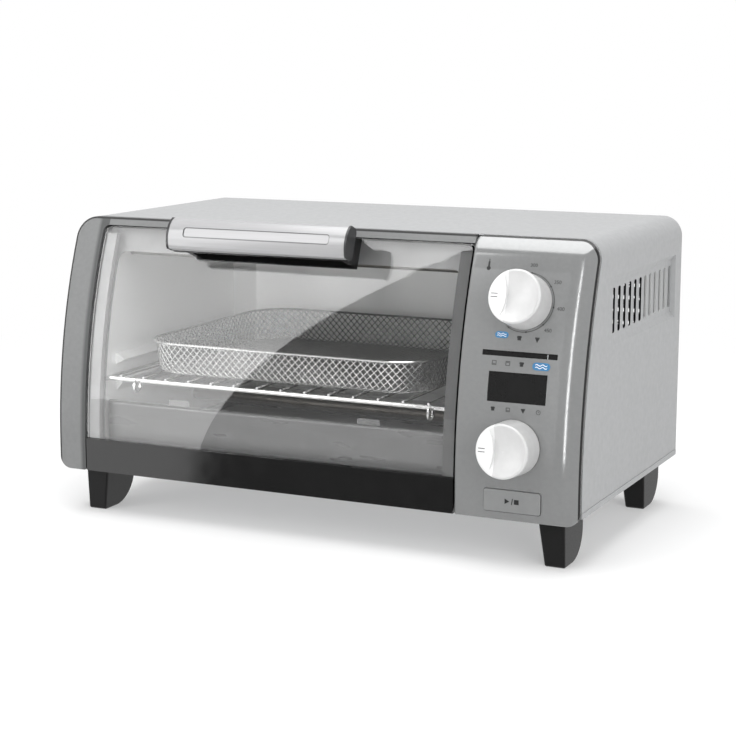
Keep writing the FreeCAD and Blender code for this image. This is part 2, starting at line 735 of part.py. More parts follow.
def make_front_frame():
    outer = [(-half_width, -front_drop, lower_corner), (-half_width, body_height, corner_radius),
             (panel_left, body_height), (panel_left, door_top + door_gap),
             (door_left - door_gap, door_top + door_gap, 5.0), (door_left - door_gap, -front_drop, 1.5)]
    rim_left = -half_width + seam_inset
    rim_high = body_height - seam_inset
    inner = [(rim_left, -front_drop + seam_inset, lower_corner - seam_inset),
             (rim_left, rim_high, corner_radius - seam_inset),
             (panel_left, rim_high), (panel_left, door_top + door_gap),
             (door_left - door_gap, door_top + door_gap, 5.0),
             (door_left - door_gap, -front_drop + seam_inset)]
    low = -front_drop - 1
    high = body_height + 1
    face = common("frame_face", slab("frame_face_shape", "XZ_Plane", outer, -2.0, 90.0),
                  front_band("frame_face_layer", 0.0, bezel_plate, -half_width - 1,
                             body_width + 2, low, high))
    rim = common("frame_rim", slab("frame_rim_shape", "XZ_Plane", inner, -2.0, 90.0),
                 front_band("frame_rim_layer", bezel_plate, bezel_depth, -half_width - 1,
                            body_width + 2, low, high))
    wall = 2.4
    pillar_inner = door_left - door_gap - wall
    hollow_shape = [(rim_left + wall, hinge_up + 14), (rim_left + wall, rim_high - wall, 9.0),
                    (pillar_inner, rim_high - wall), (pillar_inner, hinge_up + 14)]
    hollow = common("frame_hollow", slab("frame_hollow_shape", "XZ_Plane", hollow_shape, -2.0, 90.0),
                    front_band("frame_hollow_layer", bezel_plate - 1, bezel_depth + 2,
                               -half_width - 1, body_width + 2, low, high))
    pin_hole = rod("frame_pin_hole", (door_left - door_gap - 7, hinge_back, hinge_up),
                   hinge_pin + hinge_fit * 2, 10.0, "X")
    frame = cut("frame_cut", fuse("frame_solid", face, rim), hollow, pin_hole)
    return finish(frame, "front_frame")


def make_control_panel():
    left = panel_left
    right = half_width
    outer = front_outline(left, right, -front_drop, body_height,
                          (2.0, 5.0, corner_radius, lower_corner))
    rim_left = left
    rim_right = right - seam_inset
    inner = front_outline(rim_left, rim_right, -front_drop + seam_inset,
                          body_height - seam_inset,
                          (1.5, 3.0, corner_radius - seam_inset, lower_corner - seam_inset))
    wall = 2.4
    hollow_shape = front_outline(rim_left + wall, rim_right - wall, -front_drop + seam_inset + 1.6,
                                 body_height - seam_inset - wall,
                                 (1.0, 1.0, corner_radius - seam_inset - wall, 4.0))
    low = -front_drop - 1
    high = body_height + 1
    crown = (pillow_width * pillow_width + pillow_drop * pillow_drop) / (pillow_drop * 2)
    corners = [(left, bezel_plate), (left, 1.0), (left + 1.0, 0.0), (right - pillow_width, 0.0),
               (right, pillow_drop), (right, bezel_plate)]
    pillow = {3: (right - pillow_width, crown, crown)}
    straight = slab("panel_face_low", "XY_Plane", corners, low, front_straight - low, dict(pillow))
    swing = doc.addObject("Part::Revolution", "panel_face_swing")
    swing.Source = outline("panel_plan", "XY_Plane", corners, front_straight, None, dict(pillow))
    swing.Axis = Vector(-1, 0, 0)
    swing.Base = Vector(0, front_radius.value, front_straight.value)
    swing.setExpression("Base.y", front_radius.text)
    swing.setExpression("Base.z", front_straight.text)
    swing.setExpression("Angle", f"asin({lean(high).text}) + 1 deg")
    swing.Solid = True
    face = fuse("panel_face", straight, swing)
    # The face's top edge falls back along a tangent arc, as its right edge does.
    start = body_height - pillow_width
    sine = lean(start)
    cosine = root(1 - sine * sine)
    small = crown
    centre_y = front_radius - (front_radius - small) * cosine
    centre_z = front_straight + (front_radius - small) * sine
    up = body_height - centre_z
    edge_y = centre_y - root(small * small - up * up)
    side = slab("panel_side", "YZ_Plane",
                [(0.0, low), (0.0, front_straight), (front_at(start), start), (edge_y, body_height),
                 (edge_y + 20, body_height), (edge_y + 20, low)], left - 1, right - left + 2,
                {1: (front_radius, front_straight, front_radius), 2: (centre_y, centre_z, small)})
    face_outline = slab("panel_face_shape", "XZ_Plane", outer, -2.0, 90.0)
    plate = common("panel_plate", face, face_outline, side)
    rim = common("panel_rim", slab("panel_rim_shape", "XZ_Plane", inner, -2.0, 90.0),
                 front_band("panel_rim_layer", bezel_plate, bezel_depth, left - 1,
                            right - left + 2, low, high))
    hollow = common("panel_hollow", slab("panel_hollow_shape", "XZ_Plane", hollow_shape, -2.0, 90.0),
                    front_band("panel_hollow_layer", bezel_plate - 1, bezel_depth + 2, left - 1,
                               right - left + 2, low, high))
    holes = [front_rod("mode_hole", knob_x, mode_level, 9.4, 8, 2),
             front_rod("time_hole", knob_x, time_level, 9.4, 8, 2),
             button_block("button_hole", 0.4, -2.0, 10.0),
             front_box("display_hole", knob_x, display_level, display_width, display_height, 8, 2),
             front_box("lamp_hole", knob_x, lamp_level, lamp_width, lamp_height, 8, 2),
             rod("panel_pin_hole", (panel_left - 3, hinge_back, hinge_up),
                 hinge_pin + hinge_fit * 2, 9.0, "X")]
    shell = cut("panel_shell", fuse("panel_solid", plate, rim), hollow, *holes)
    bosses = [front_rod(f"board_boss_{number}", knob_x, display_level, boss_across, board_depth,
                        -bezel_plate + 1.5, right, up)
              for number, (right, up) in enumerate(board_boss_places(), 1)]
    bosses += [front_rod(f"switch_boss_{number}", knob_x, front_straight, boss_across, switch_depth,
                         -bezel_plate + 1.5, right, button_level - front_straight)
               for number, right in enumerate(switch_boss_places(), 1)]
    return finish(fuse("panel_with_bosses", shell, *bosses), "control_panel")


# Back and underside of the casing

def bulge(name, body, start, width, deep, low, tall, add):
    """Shallow round bulge, an arc seen from above, added to a body or taken from it."""
    half = as_size(width) / 2
    deep = as_size(deep)
    radius = (half * half + deep * deep) / (deep * 2)
    centre = as_size(start) + deep - radius
    plan = outline(name + "_plan", "XY_Plane",
                   [(cavity_middle - half, start), (cavity_middle + half, start)], low, body,
                   {1: (cavity_middle, centre, radius)})
    if add:
        return pad(body, name, plan, tall)
    return pocket(body, name, plan, tall, True)


def make_rear_panel():
    body = make_body("rear")
    edge = outline("rear_edge", "XZ_Plane",
                   [(-side_face, 0.0), (-side_face, body_height, corner_radius),
                    (side_face, body_height, corner_radius), (side_face, 0.0)],
                   body_depth - skin, body)
    pad(body, "rear_sheet", edge, skin, True)
    low = cavity_floor_level + 14
    tall = as_size(124.0)
    bulge("rear_bulge", body, body_depth - skin, bulge_width + 8, bulge_depth + skin, low, tall, True)
    round_edges(body, "rear_bulge_round", 6.0,
                lambda middle, way, edge: middle.y > body_depth.value + 3 and edge.Length > 100)
    bulge("rear_hollow", body, body_depth - skin * 1.5, bulge_width + 5, bulge_depth + skin * 0.3,
          low + 1.4, tall - 2.8, False)
    slot = outline("rear_slot", "XZ_Plane",
                   [(154.0, 150.0, 1.4), (154.0, 153.0, 1.4), (190.0, 153.0, 1.4), (190.0, 150.0, 1.4)],
                   body_depth + 1, body)
    opening = pocket(body, "rear_slot_cut", slot, 4.0, True)
    row = body.newObject("PartDesign::LinearPattern", "rear_slots")
    row.Originals = [opening]
    row.Direction = (slot, ["V_Axis"])
    row.Reversed = True
    bind(row, Length=10.0 * 7, Occurrences=8)
    body.Tip = row
    holes = [(across, up, screw_shank + screw_play * 2) for across, up in rear_screw_places()]
    holes.append((gland_x, gland_level, gland_neck))
    drilled = circles("rear_holes", "XZ_Plane", holes, body_depth + 1, body)
    pocket(body, "rear_hole_cut", drilled, 4.0, True)
    return finish(body, "rear_panel")


def make_base_plate():
    body = make_body("base")
    depth = body_depth - skin * 2 - cavity_front
    sheet_edge = outline("base_edge", "XZ_Plane",
                         [(-side_inner, skin), (-side_inner, 14.0), (-side_inner + skin, 14.0),
                          (-side_inner + skin, base_top), (side_inner - skin, base_top),
                          (side_inner - skin, 14.0), (side_inner, 14.0), (side_inner, skin)],
                         cavity_front, body)
    pad(body, "base_sheet", sheet_edge, depth, True)
    slot = outline("base_slot", "XY_Plane",
                   [(130.0, 60.0, 1.9), (170.0, 60.0, 1.9), (170.0, 64.0, 1.9), (130.0, 64.0, 1.9)],
                   skin / 2, body)
    opening = pocket(body, "base_slot_cut", slot, skin * 2, True)
    row = body.newObject("PartDesign::LinearPattern", "base_slots")
    row.Originals = [opening]
    row.Direction = (slot, ["V_Axis"])
    bind(row, Length=12.0 * 4, Occurrences=5)
    body.Tip = row
    holes = [(across, depth, screw_shank + screw_play * 2) for across, depth in foot_screw_places()]
    pocket(body, "base_drill", circles("base_holes", "XY_Plane", holes, skin / 2, body), skin * 2, True)
    return finish(body, "base_plate")


def make_foot(label, side, start):
    body = make_body(label + "_body")
    outer = (side_face - foot_inset) * side
    inner = (side_face - foot_inset - foot_wide) * side
    west = inner if side > 0 else outer
    profile = outline(label + "_profile", "YZ_Plane",
                      [(start, 0.0), (start + 2.5, -foot_height, 2.0),
                       (start + foot_long, -foot_height, foot_height * 0.56), (start + foot_long, 0.0)],
                      west, body)
    pad(body, label + "_block", profile, foot_wide)
    taper = outline(label + "_taper_edge", "XZ_Plane",
                    [(inner, -2.0), (inner + 5.0 * side, -foot_height), (inner + 5.0 * side, -foot_height - 1),
                     (inner - 1.0 * side, -foot_height - 1), (inner - 1.0 * side, -2.0)],
                    start - 1, body)
    pocket(body, label + "_taper", taper, foot_long + 2)
    round_edges(body, label + "_round", 1.4,
                lambda middle, way, edge: middle.y < start.value + 2.6 and middle.z < -10
                and abs(way.z) > 0.8)
    hole = circles(label + "_hole", "XY_Plane",
                   [((inner + outer) / 2, start + foot_long / 2, screw_shank + screw_play * 2)],
                   1.0, body)
    pocket(body, label + "_bore", hole, 17.0)
    return finish(body, label)


def make_feet():
    for name, side, start in (("front_left", -1, foot_front), ("front_right", 1, foot_front),
                              ("rear_left", -1, foot_rear), ("rear_right", 1, foot_rear)):
        make_foot("foot_" + name, side, start)


def make_screws():
    down = []
    for number, (across, depth) in enumerate(foot_screw_places(), 1):
        shank = rod(f"foot_screw_shank_{number}", (across, depth, -12.0), screw_shank, base_top + 12)
        head_rod = rod(f"foot_screw_head_{number}", (across, depth, base_top), screw_head, 2.2)
        down.append(fuse(f"foot_screw_{number}", shank, head_rod))
    finish(group("foot_screw_set", down), "foot_screws")
    rear = []
    for number, (across, up) in enumerate(rear_screw_places(), 1):
        shank = rod(f"rear_screw_shank_{number}", (across, body_depth - 8, up), screw_shank, 8.0, "Y")
        head_rod = rod(f"rear_screw_head_{number}", (across, body_depth, up), screw_head, 2.0, "Y")
        rear.append(fuse(f"rear_screw_{number}", shank, head_rod))
    finish(group("rear_screw_set", rear), "rear_screws")


def make_gland():
    neck = rod("gland_neck_rod", (gland_x, body_depth - 6, gland_level), gland_neck - 0.1, 10.0, "Y")
    collar = rod("gland_collar", (gland_x, body_depth, gland_level), gland_neck + 5, 3.0, "Y")
    nut = rod("gland_nut", (gland_x, body_depth - skin - 4, gland_level), gland_neck + 4, 4.0, "Y")
    bore = rod("gland_bore", (gland_x, body_depth - 8, gland_level), 7.0, 16.0, "Y")
    return finish(cut("gland_cut", fuse("gland_solid", neck, collar, nut), bore), "cord_gland")


# Oven cavity

def make_cavity():
    body = make_body("cavity")
    left = cavity_left - liner
    right = cavity_right + liner
    top = cavity_roof + liner
    ring = [(left, base_top), (left, top, 4.0), (right, top, 4.0), (right, base_top),
            (cavity_right, base_top), (cavity_right, cavity_roof, 3.0), (cavity_left, cavity_roof, 3.0),
            (cavity_left, base_top)]
    bent = outline("cavity_bend", "XZ_Plane", ring, 0.0, body)
    pad(body, "cavity_sheet", bent, cavity_back, True)
    # Each side wall has two pressed ridges that the rack's edge runs between.
    low_top = rack_level - rack_wire / 2 - 0.2
    high_low = rack_level + rack_wire / 2 + 5.5
    ridges = []
    for wall, side in ((cavity_left, 1), (cavity_right, -1)):
        root_x = wall - side * 0.2
        tip_x = wall + ridge_out * side
        ridges.append([(root_x, low_top), (tip_x - side * 1.6, low_top), (tip_x, low_top - 1.6),
                       (root_x, low_top - 11.8)])
        ridges.append([(root_x, high_low), (tip_x, high_low + 4.5), (root_x, high_low + 9)])
    guide = outline("cavity_guides", "XZ_Plane", ridges[0], cavity_front + ridge_start, body, None,
                    ridges[1:])
    pad(body, "cavity_ridges", guide, cavity_back - cavity_front - ridge_start - 10, True)
    front = outline("cavity_front_edge", "YZ_Plane",
                    [(-5.0, -5.0), (cavity_front, -5.0), (cavity_front, front_straight),
                     (front_at(body_height, cavity_front), body_height), (-5.0, body_height)], 0.0, body,
                    {2: (front_radius, front_straight, front_radius - cavity_front)})
    pocket(body, "cavity_front_cut", front)
    holes = [(depth, level, tube_across + 1) for depth in (tube_front, tube_rear)
             for level in (upper_tubes, lower_tubes)]
    tube_holes = circles("cavity_tube_holes", "YZ_Plane", holes, 0.0, body)
    pocket(body, "cavity_tube_cut", tube_holes)
    ring_holes = [(fan_depth, fan_level, 5.0)]
    for count, radius in ((6, 13.0), (12, 26.0)):
        for step in range(count):
            turn = 2 * math.pi * step / count
            ring_holes.append((fan_depth + radius * math.cos(turn), fan_level + radius * math.sin(turn), 5.0))
    ring_holes.append((probe_depth, probe_level, probe_across + 0.2))
    air = circles("cavity_air_holes", "YZ_Plane", ring_holes, cavity_right - 1, body)
    pocket(body, "cavity_air_cut", air, 4.0, True)
    return finish(body, "cavity_shell")


def upright_crease(middle, way, edge):
    """Whether an edge is an upright border of the cavity back's bulge, on the cavity's side."""
    return (along(way, Z_AXIS) and abs(middle.y - cavity_back.value) < 0.1
            and abs(abs(middle.x - cavity_middle.value) - bulge_width.value / 2) < 4)


def make_cavity_ends():
    flange_left = door_left - 5
    flange_right = panel_left + 4
    flange_shape = [(flange_left, base_top + 0.2), (flange_left, body_height - 8, 8.0),
                    (flange_right, body_height - 8, 8.0), (flange_right, base_top + 0.2)]
    opening = [(cavity_left + 2, cavity_floor_level, 2.0), (cavity_left + 2, opening_top, 8.0),
               (cavity_right - 2, opening_top, 8.0), (cavity_right - 2, cavity_floor_level, 2.0)]
    plate = slab("flange_plate", "XZ_Plane", flange_shape, 0.0, 80.0, None, [opening])
    layer = front_band("flange_layer", bezel_depth + curved_seat, cavity_front - curved_seat,
                       -half_width, body_width, -1.0, body_height + 1)
    finish(common("flange_common", plate, layer), "cavity_front_flange")

    body = make_body("cavity_rear")
    sheet_edge = outline("cavity_rear_edge", "XZ_Plane",
                         [(cavity_left - liner, base_top), (cavity_left - liner, cavity_roof + liner, 4.0),
                          (cavity_right + liner, cavity_roof + liner, 4.0), (cavity_right + liner, base_top)],
                         cavity_back, body)
    pad(body, "cavity_rear_sheet", sheet_edge, liner, True)
    low = cavity_floor_level + 17
    tall = as_size(118.0)
    depth = body_depth + bulge_depth - 4 - cavity_back
    bulge("cavity_rear_bulge", body, cavity_back, bulge_width, depth, low, tall, True)
    bulge("cavity_rear_hollow", body, cavity_back - 0.5, bulge_width - 3, depth - liner + 0.5, low + liner,
          tall - liner * 2, False)
    round_edges(body, "cavity_creases", crease_round, upright_crease)
    finish(body, "cavity_back")

    body = make_body("cavity_bottom")
    plan = outline("cavity_floor_plan", "XY_Plane",
                   [(cavity_left, cavity_front), (cavity_left, cavity_back), (cavity_right, cavity_back),
                    (cavity_right, cavity_front)], cavity_floor_level - liner, body)
    pad(body, "cavity_floor_sheet", plan, liner)
    finish(body, "cavity_floor")


def make_heaters():
    start = cavity_left - liner - 9
    reach = cavity_width + liner * 2 + 18
    for label, level in (("upper_heating_tubes", upper_tubes), ("lower_heating_tubes", lower_tubes)):
        tubes = [rod(f"{label}_{side}", (start, depth, level), tube_across, reach, "X")
                 for side, depth in (("front", tube_front), ("rear", tube_rear))]
        finish(group(label + "_pair", tubes), label)
    holders = []
    for side, near in (("left", cavity_left - liner - 8), ("right", cavity_right + liner)):
        for name, depth in (("front", tube_front), ("rear", tube_rear)):
            for row, level in (("upper", upper_tubes), ("lower", lower_tubes)):
                block = box(f"holder_{side}_{name}_{row}_block", (near, depth - 8, level - 8), 8.0, 16.0, 16.0)
                bore = rod(f"holder_{side}_{name}_{row}_bore", (near - 1, depth, level), tube_across, 10.0, "X")
                holders.append(cut(f"holder_{side}_{name}_{row}", block, bore))
    finish(group("holder_set", holders), "tube_holders")


def make_probe():
    stem = rod("probe_stem", (cavity_right - 22, probe_depth, probe_level), probe_across, liner + 30, "X")
    collar = rod("probe_collar", (cavity_right + liner, probe_depth, probe_level), probe_across + 5, 3.0, "X")
    return finish(fuse("probe_solid", stem, collar), "temperature_probe")


def make_tray():
    body = make_body("tray")
    left = cavity_left + 4
    right = cavity_right - 4
    front = cavity_front + 1.5
    rear = cavity_back - 4
    plan = outline("tray_plan", "XY_Plane",
                   [(left, front, 4.0), (left, rear, 4.0), (right, rear, 4.0), (right, front, 4.0)],
                   cavity_floor_level, body)
    pad(body, "tray_block", plan, 7.0)
    inside = outline("tray_inside", "XY_Plane",
                     [(left + 0.8, front + 0.8, 3.2), (left + 0.8, rear - 0.8, 3.2),
                      (right - 0.8, rear - 0.8, 3.2), (right - 0.8, front + 0.8, 3.2)],
                     cavity_floor_level + 0.8, body)
    pocket(body, "tray_dish", inside, 10.0, True)
    # Its tall front wall rolls back at the top, and two tabs stand up from it for the fingers.
    sheet = as_size(0.8)
    wall = outline("tray_wall_plan", "YZ_Plane",
                   [(front, cavity_floor_level + 3), (front, tray_front, 2.4), (front + 5, tray_front),
                    (front + 5, tray_front - sheet), (front + sheet, tray_front - sheet, 1.6),
                    (front + sheet, cavity_floor_level + 3)], left + 0.6, body)
    pad(body, "tray_wall", wall, right - left - 1.2)
    near = cavity_left + tray_tab_inset
    far = cavity_right - tray_tab_inset - tray_tab
    tabs = [[(start, tray_front - 2), (start, tray_front + tray_tab_rise, 1.5),
             (start + tray_tab, tray_front + tray_tab_rise, 1.5), (start + tray_tab, tray_front - 2)]
            for start in (near, far)]
    tab = outline("tray_tabs_plan", "XZ_Plane", tabs[0], front + 2.6, body, None, tabs[1:])
    pad(body, "tray_tabs", tab, sheet, True)
    return finish(body, "crumb_tray")


# Rack and basket

def wire(name, point, diameter, length, along="Z"):
    """Drawn wire from the middle of its near end along X, Y or Z, as an eight-sided prism."""
    solid = doc.addObject("Part::Prism", name)
    solid.Polygon = 8
    bind(solid, Circumradius=as_size(diameter) / 2 * 1.02, Height=length)
    turns = {"X": (Vector(0, 1, 0), 90), "Y": (Vector(1, 0, 0), -90), "Z": (Vector(0, 0, 1), 0)}
    axis, turn = turns[along]
    return stand(solid, point, None, axis, turn)


def octagon(across, up, diameter):
    """Eight-sided section of a drawn wire."""
    radius = as_size(diameter) / 2
    return [(across + radius * math.cos(math.pi * (step + 0.5) / 4),
             up + radius * math.sin(math.pi * (step + 0.5) / 4)) for step in range(8)]


def make_rack():
    level = rack_level
    left = cavity_left + 3 + rack_wire / 2
    right = cavity_right - 3 - rack_wire / 2
    front = cavity_front + 1.5
    rear = cavity_back - 9
    side_length = rear - front + rack_wire
    side_start = front - rack_wire / 2
    wires = [wire("rack_front_rail", (left, front, level), rack_wire, right - left, "X"),
             wire("rack_rear_rail", (left, rear, level), rack_wire, right - left, "X"),
             wire("rack_left_rail", (left, side_start, level), rack_wire, side_length, "Y"),
             wire("rack_right_rail", (right, side_start, level), rack_wire, side_length, "Y")]
    count = 14
    first = cavity_left + rack_edge
    pitch = (cavity_width - rack_edge * 2) / (count - 1)
    low = level + rack_wire / 2 + rack_rod / 2 - wire_sink
    for number in range(count):
        wires.append(wire(f"rack_rod_{number + 1}", (first + pitch * number, front - 1.4, low), rack_rod,
                          rear - front + 2.8, "Y"))
    # Two closed loops hang from the front rail, where the door's hooks take hold.
    loop_reach = as_size(4.2)
    loops = doc.addObject("Part::Revolution", "rack_loops")
    sections = [octagon(across, level, 2.2) for across in (left + 26, right - 12)]
    loops.Source = outline("rack_loop_sections", "XZ_Plane", sections[0], front, None, None, sections[1:])
    loops.Axis = X_AXIS
    loops.Base = Vector(0, front.value, (level - loop_reach).value)
    loops.setExpression("Base.y", front.text)
    loops.setExpression("Base.z", (level - loop_reach).text)
    loops.Angle = 360
    loops.Solid = True
    return finish(fuse("rack_wires", *wires, loops), "rack")


def make_basket():
    body = make_body("basket")
    low = rack_level + rack_wire / 2 + rack_rod - wire_sink + basket_play
    top = low + basket_tall
    middle_y = basket_middle
    wall = as_size(1.0)

    def ring(name, level, shrink, radius):
        half_x = basket_width / 2 - shrink
        half_y = basket_length / 2 - shrink
        return outline(name, "XY_Plane",
                       [(cavity_middle - half_x, middle_y - half_y, radius),
                        (cavity_middle - half_x, middle_y + half_y, radius),
                        (cavity_middle + half_x, middle_y + half_y, radius),
                        (cavity_middle + half_x, middle_y - half_y, radius)], level, body)

    outer = body.newObject("PartDesign::AdditiveLoft", "basket_outside")
    under_rim = rim_wire / 2 + curved_seat
    outer.Profile = ring("basket_bottom_edge", low, under_rim + basket_slope, basket_corner - basket_slope)
    outer.Sections = [ring("basket_top_edge", top, under_rim, basket_corner)]
    inner = body.newObject("PartDesign::SubtractiveLoft", "basket_inside")
    inner.Profile = ring("basket_inner_bottom", low + wall, under_rim + basket_slope + wall,
                         basket_corner - basket_slope - wall)
    inner.Sections = [ring("basket_inner_top", top + 0.01, under_rim + wall, basket_corner - wall)]
    # The bottom's diamonds: one holed face.
    columns = 11
    rows = 9
    pitch = as_size(17.5)
    cell = as_size(7.0)
    first_x = cavity_middle - pitch * ((columns - 1) / 2)
    first_y = middle_y - pitch * ((rows - 1) / 2)
    diamond = outline("basket_gap", "XY_Plane",
                      [(first_x - cell, first_y), (first_x, first_y + cell), (first_x + cell, first_y),
                       (first_x, first_y - cell)], low - 1, body)
    gap = pocket(body, "basket_gap_cut", diamond, 3.0, True)
    grid = body.newObject("PartDesign::MultiTransform", "basket_net")
    grid.Originals = [gap]
    across = body.newObject("PartDesign::LinearPattern", "basket_net_across")
    across.Direction = (diamond, ["H_Axis"])
    bind(across, Length=pitch * (columns - 1), Occurrences=columns)
    back = body.newObject("PartDesign::LinearPattern", "basket_net_back")
    back.Direction = (diamond, ["V_Axis"])
    bind(back, Length=pitch * (rows - 1), Occurrences=rows)
    grid.Transformations = [across, back]
    body.Tip = grid
    finish(body, "basket_mesh")

    body = make_body("basket_wire")
    half_x = basket_width / 2
    half_y = basket_length / 2
    path = outline("basket_rim_path", "XY_Plane",
                   [(cavity_middle - half_x, middle_y - half_y, basket_corner),
                    (cavity_middle - half_x, middle_y + half_y, basket_corner),
                    (cavity_middle + half_x, middle_y + half_y, basket_corner),
                    (cavity_middle + half_x, middle_y - half_y, basket_corner)], top, body)
    section = outline("basket_rim_section", "YZ_Plane", octagon(middle_y - half_y, top, rim_wire),
                      cavity_middle, body)
    rim = body.newObject("PartDesign::AdditivePipe", "basket_rim_pipe")
    rim.Profile = section
    doc.recompute()
    rim.Spine = (path, [f"Edge{i + 1}" for i in range(len(path.Shape.Edges))])
    finish(body, "basket_rim")


# Door

def make_door():
    low = -front_drop
    rail_top = low + rail_height
    high = body_height + 1
    glass_low = rail_top - rail_lap
    shape = [(door_left + 0.4, glass_low + 0.2, 1.0), (door_left + 0.4, door_top, 5.0),
             (door_right - 0.4, door_top, 5.0), (door_right - 0.4, glass_low + 0.2, 1.0)]
    pane = common("glass_pane", slab("glass_shape", "XZ_Plane", shape, -2.0, 90.0),
                  front_band("glass_layer", glass_recess, glass_recess + glass_thick, door_left,
                             door_width, low, high))
    holes = [front_rod(f"glass_hole_{number}", door_middle, handle_level, 5.0, 9, 2, right)
             for number, right in enumerate(handle_screw_places(), 1)]
    finish(cut("glass_cut", pane, *holes), "door_glass")

    block = front_band("rail_block", 0.0, rail_depth, door_left, door_width, low, rail_top)
    groove = front_band("rail_groove", glass_recess - 0.05, glass_recess + glass_thick + 0.05,
                        door_left - 1, door_width + 2, glass_low, rail_top + 5)
    bores = [rod("rail_bore_left", (door_left - 1, hinge_back, hinge_up), hinge_pin, 10.0, "X"),
             rod("rail_bore_right", (door_right - 9, hinge_back, hinge_up), hinge_pin, 10.0, "X")]
    finish(cut("rail_cut", block, groove, *bores), "door_rail")

    back = glass_recess + glass_thick
    for side, start in (("left", door_left + 0.8), ("right", door_right - 0.8 - strip_width)):
        strip = front_band(f"strip_{side}", back + curved_seat, rail_depth - 1.0, start, strip_width, rail_top,
                           door_top - 6)
        inside = front_band(f"strip_{side}_hollow", back + 0.9, rail_depth, start + 0.9,
                            strip_width - 1.8, rail_top + 0.9, door_top - 6.9)
        finish(cut(f"strip_{side}_cut", strip, inside), f"door_strip_{side}")

    pins = [rod("hinge_pin_left", (door_left - door_gap - 5, hinge_back, hinge_up), hinge_pin,
                door_gap + 14, "X"),
            rod("hinge_pin_right", (door_right - 9, hinge_back, hinge_up), hinge_pin,
                door_gap + 14, "X")]
    finish(group("hinge_pin_pair", pins), "hinge_pins")


def handle_screw_places():
    return [-handle_foot / 2 + 18, handle_foot / 2 - 18]


def make_handle():
    half = handle_tall / 2
    near = handle_reach - handle_deep
    body = make_body("handle_face")
    crown = as_size(3.0)
    corner = as_size(1.6)

    def crowned(inset):
        """Corners and front arc of the bar's section, drawn in by an inset."""
        side = half - inset
        front = handle_reach - inset
        flat = side - corner + inset / 2
        sweep = (flat * flat + crown * crown) / (crown * 2)
        shoulder = front - crown
        return side, flat, shoulder, (0.0, front - sweep, sweep)

    side, flat, shoulder, front_arc = crowned(as_size(0.0))
    inner_side, inner_flat, inner_shoulder, inner_arc = crowned(as_size(1.2))
    section = [(-side, near + 2.5), (-side, shoulder - corner), (-flat, shoulder), (flat, shoulder),
               (side, shoulder - corner), (side, near + 2.5), (inner_side, near + 2.5),
               (inner_side, inner_shoulder - corner), (inner_flat, inner_shoulder),
               (-inner_flat, inner_shoulder), (-inner_side, inner_shoulder - corner),
               (-inner_side, near + 2.5)]
    span = handle_length - end_cap * 2
    profile = outline("handle_section", "YZ_Plane", section, -span / 2, body,
                      {2: front_arc, 8: inner_arc})
    pad(body, "handle_sheet", profile, span)
    round_edges(body, "handle_round", 1.2,
                lambda middle, way, edge: along(way, X_AXIS) and middle.z > shoulder.value - 0.5
                and abs(middle.y) > flat.value - 0.1)
    round_edges(body, "handle_round_side", 1.0,
                lambda middle, way, edge: along(way, X_AXIS) and abs(middle.y) > side.value - 0.1
                and middle.z > near.value + 4)
    dent = outline("handle_dent_plan", "XY_Plane",
                   [(-59.0, -3.4, 2.0), (-59.0, 3.4, 2.0), (59.0, 3.4, 2.0), (59.0, -3.4, 2.0)],
                   handle_reach + 1, body)
    pocket(body, "handle_dent", dent, 1.7)
    lean_with_front(body, "handle_bar", door_middle, handle_level)

    body = make_body("handle_inside")
    core = [(-half - 0.3, near), (-half - 0.3, near + 2.4), (-half + 1.3, near + 2.4),
            (-half + 1.3, handle_reach - 6.2, 2.0), (half - 1.3, handle_reach - 6.2, 2.0),
            (half - 1.3, near + 2.4), (half + 0.3, near + 2.4), (half + 0.3, near)]
    pad(body, "handle_core_block", outline("handle_core_section", "YZ_Plane", core, -span / 2, body), span)
    lean_with_front(body, "handle_core", door_middle, handle_level)

    side, flat, shoulder, front_arc = crowned(as_size(-0.3))
    cap = [(-side, near, 4.0), (-side, shoulder - corner), (-flat, shoulder), (flat, shoulder),
           (side, shoulder - corner), (side, near, 4.0)]
    for name, start in (("left", -handle_length / 2), ("right", span / 2)):
        end = make_body(f"handle_end_{name}")
        pad(end, f"handle_end_{name}_block",
            outline(f"handle_end_{name}_section", "YZ_Plane", cap, start, end, {2: front_arc}), end_cap)
        lean_with_front(end, f"handle_cap_{name}", door_middle, handle_level)

    foot_half = handle_foot / 2
    foot_plate = as_size(2.4)
    plate = front_box("bracket_plate", door_middle, handle_level, handle_foot, handle_tall - 0.8,
                      glass_recess, foot_plate)
    walls = []
    for side, start in ((-1, -foot_half + 2), (1, foot_half - 2)):
        walls.append(front_box(f"bracket_wall_{side + 1}", door_middle, handle_level, 4.0,
                               handle_tall - 3, -foot_plate, near, start))
    roof = front_box("bracket_roof", door_middle, handle_level, handle_foot, 2.6, -foot_plate, near, 0.0,
                     handle_tall / 2 - 2.8)
    holes = [front_rod(f"bracket_hole_{number}", door_middle, handle_level, screw_shank + 0.1, 3, 4, right)
             for number, right in enumerate(handle_screw_places(), 1)]
    finish(cut("bracket_cut", fuse("bracket_solid", plate, *walls, roof), *holes), "handle_bracket")

    screws = []
    back = glass_recess + glass_thick
    for number, right in enumerate(handle_screw_places(), 1):
        shank = front_rod(f"handle_screw_shank_{number}", door_middle, handle_level, screw_shank,
                          back + 0.2, 2.0, right)
        head = front_rod(f"handle_screw_head_{number}", door_middle, handle_level, screw_head + 2,
                         back + 2.6, -back - 0.2, right)
        screws.append(fuse(f"handle_screw_{number}", shank, head))
    finish(group("handle_screw_pair", screws), "handle_screws")


# Controls

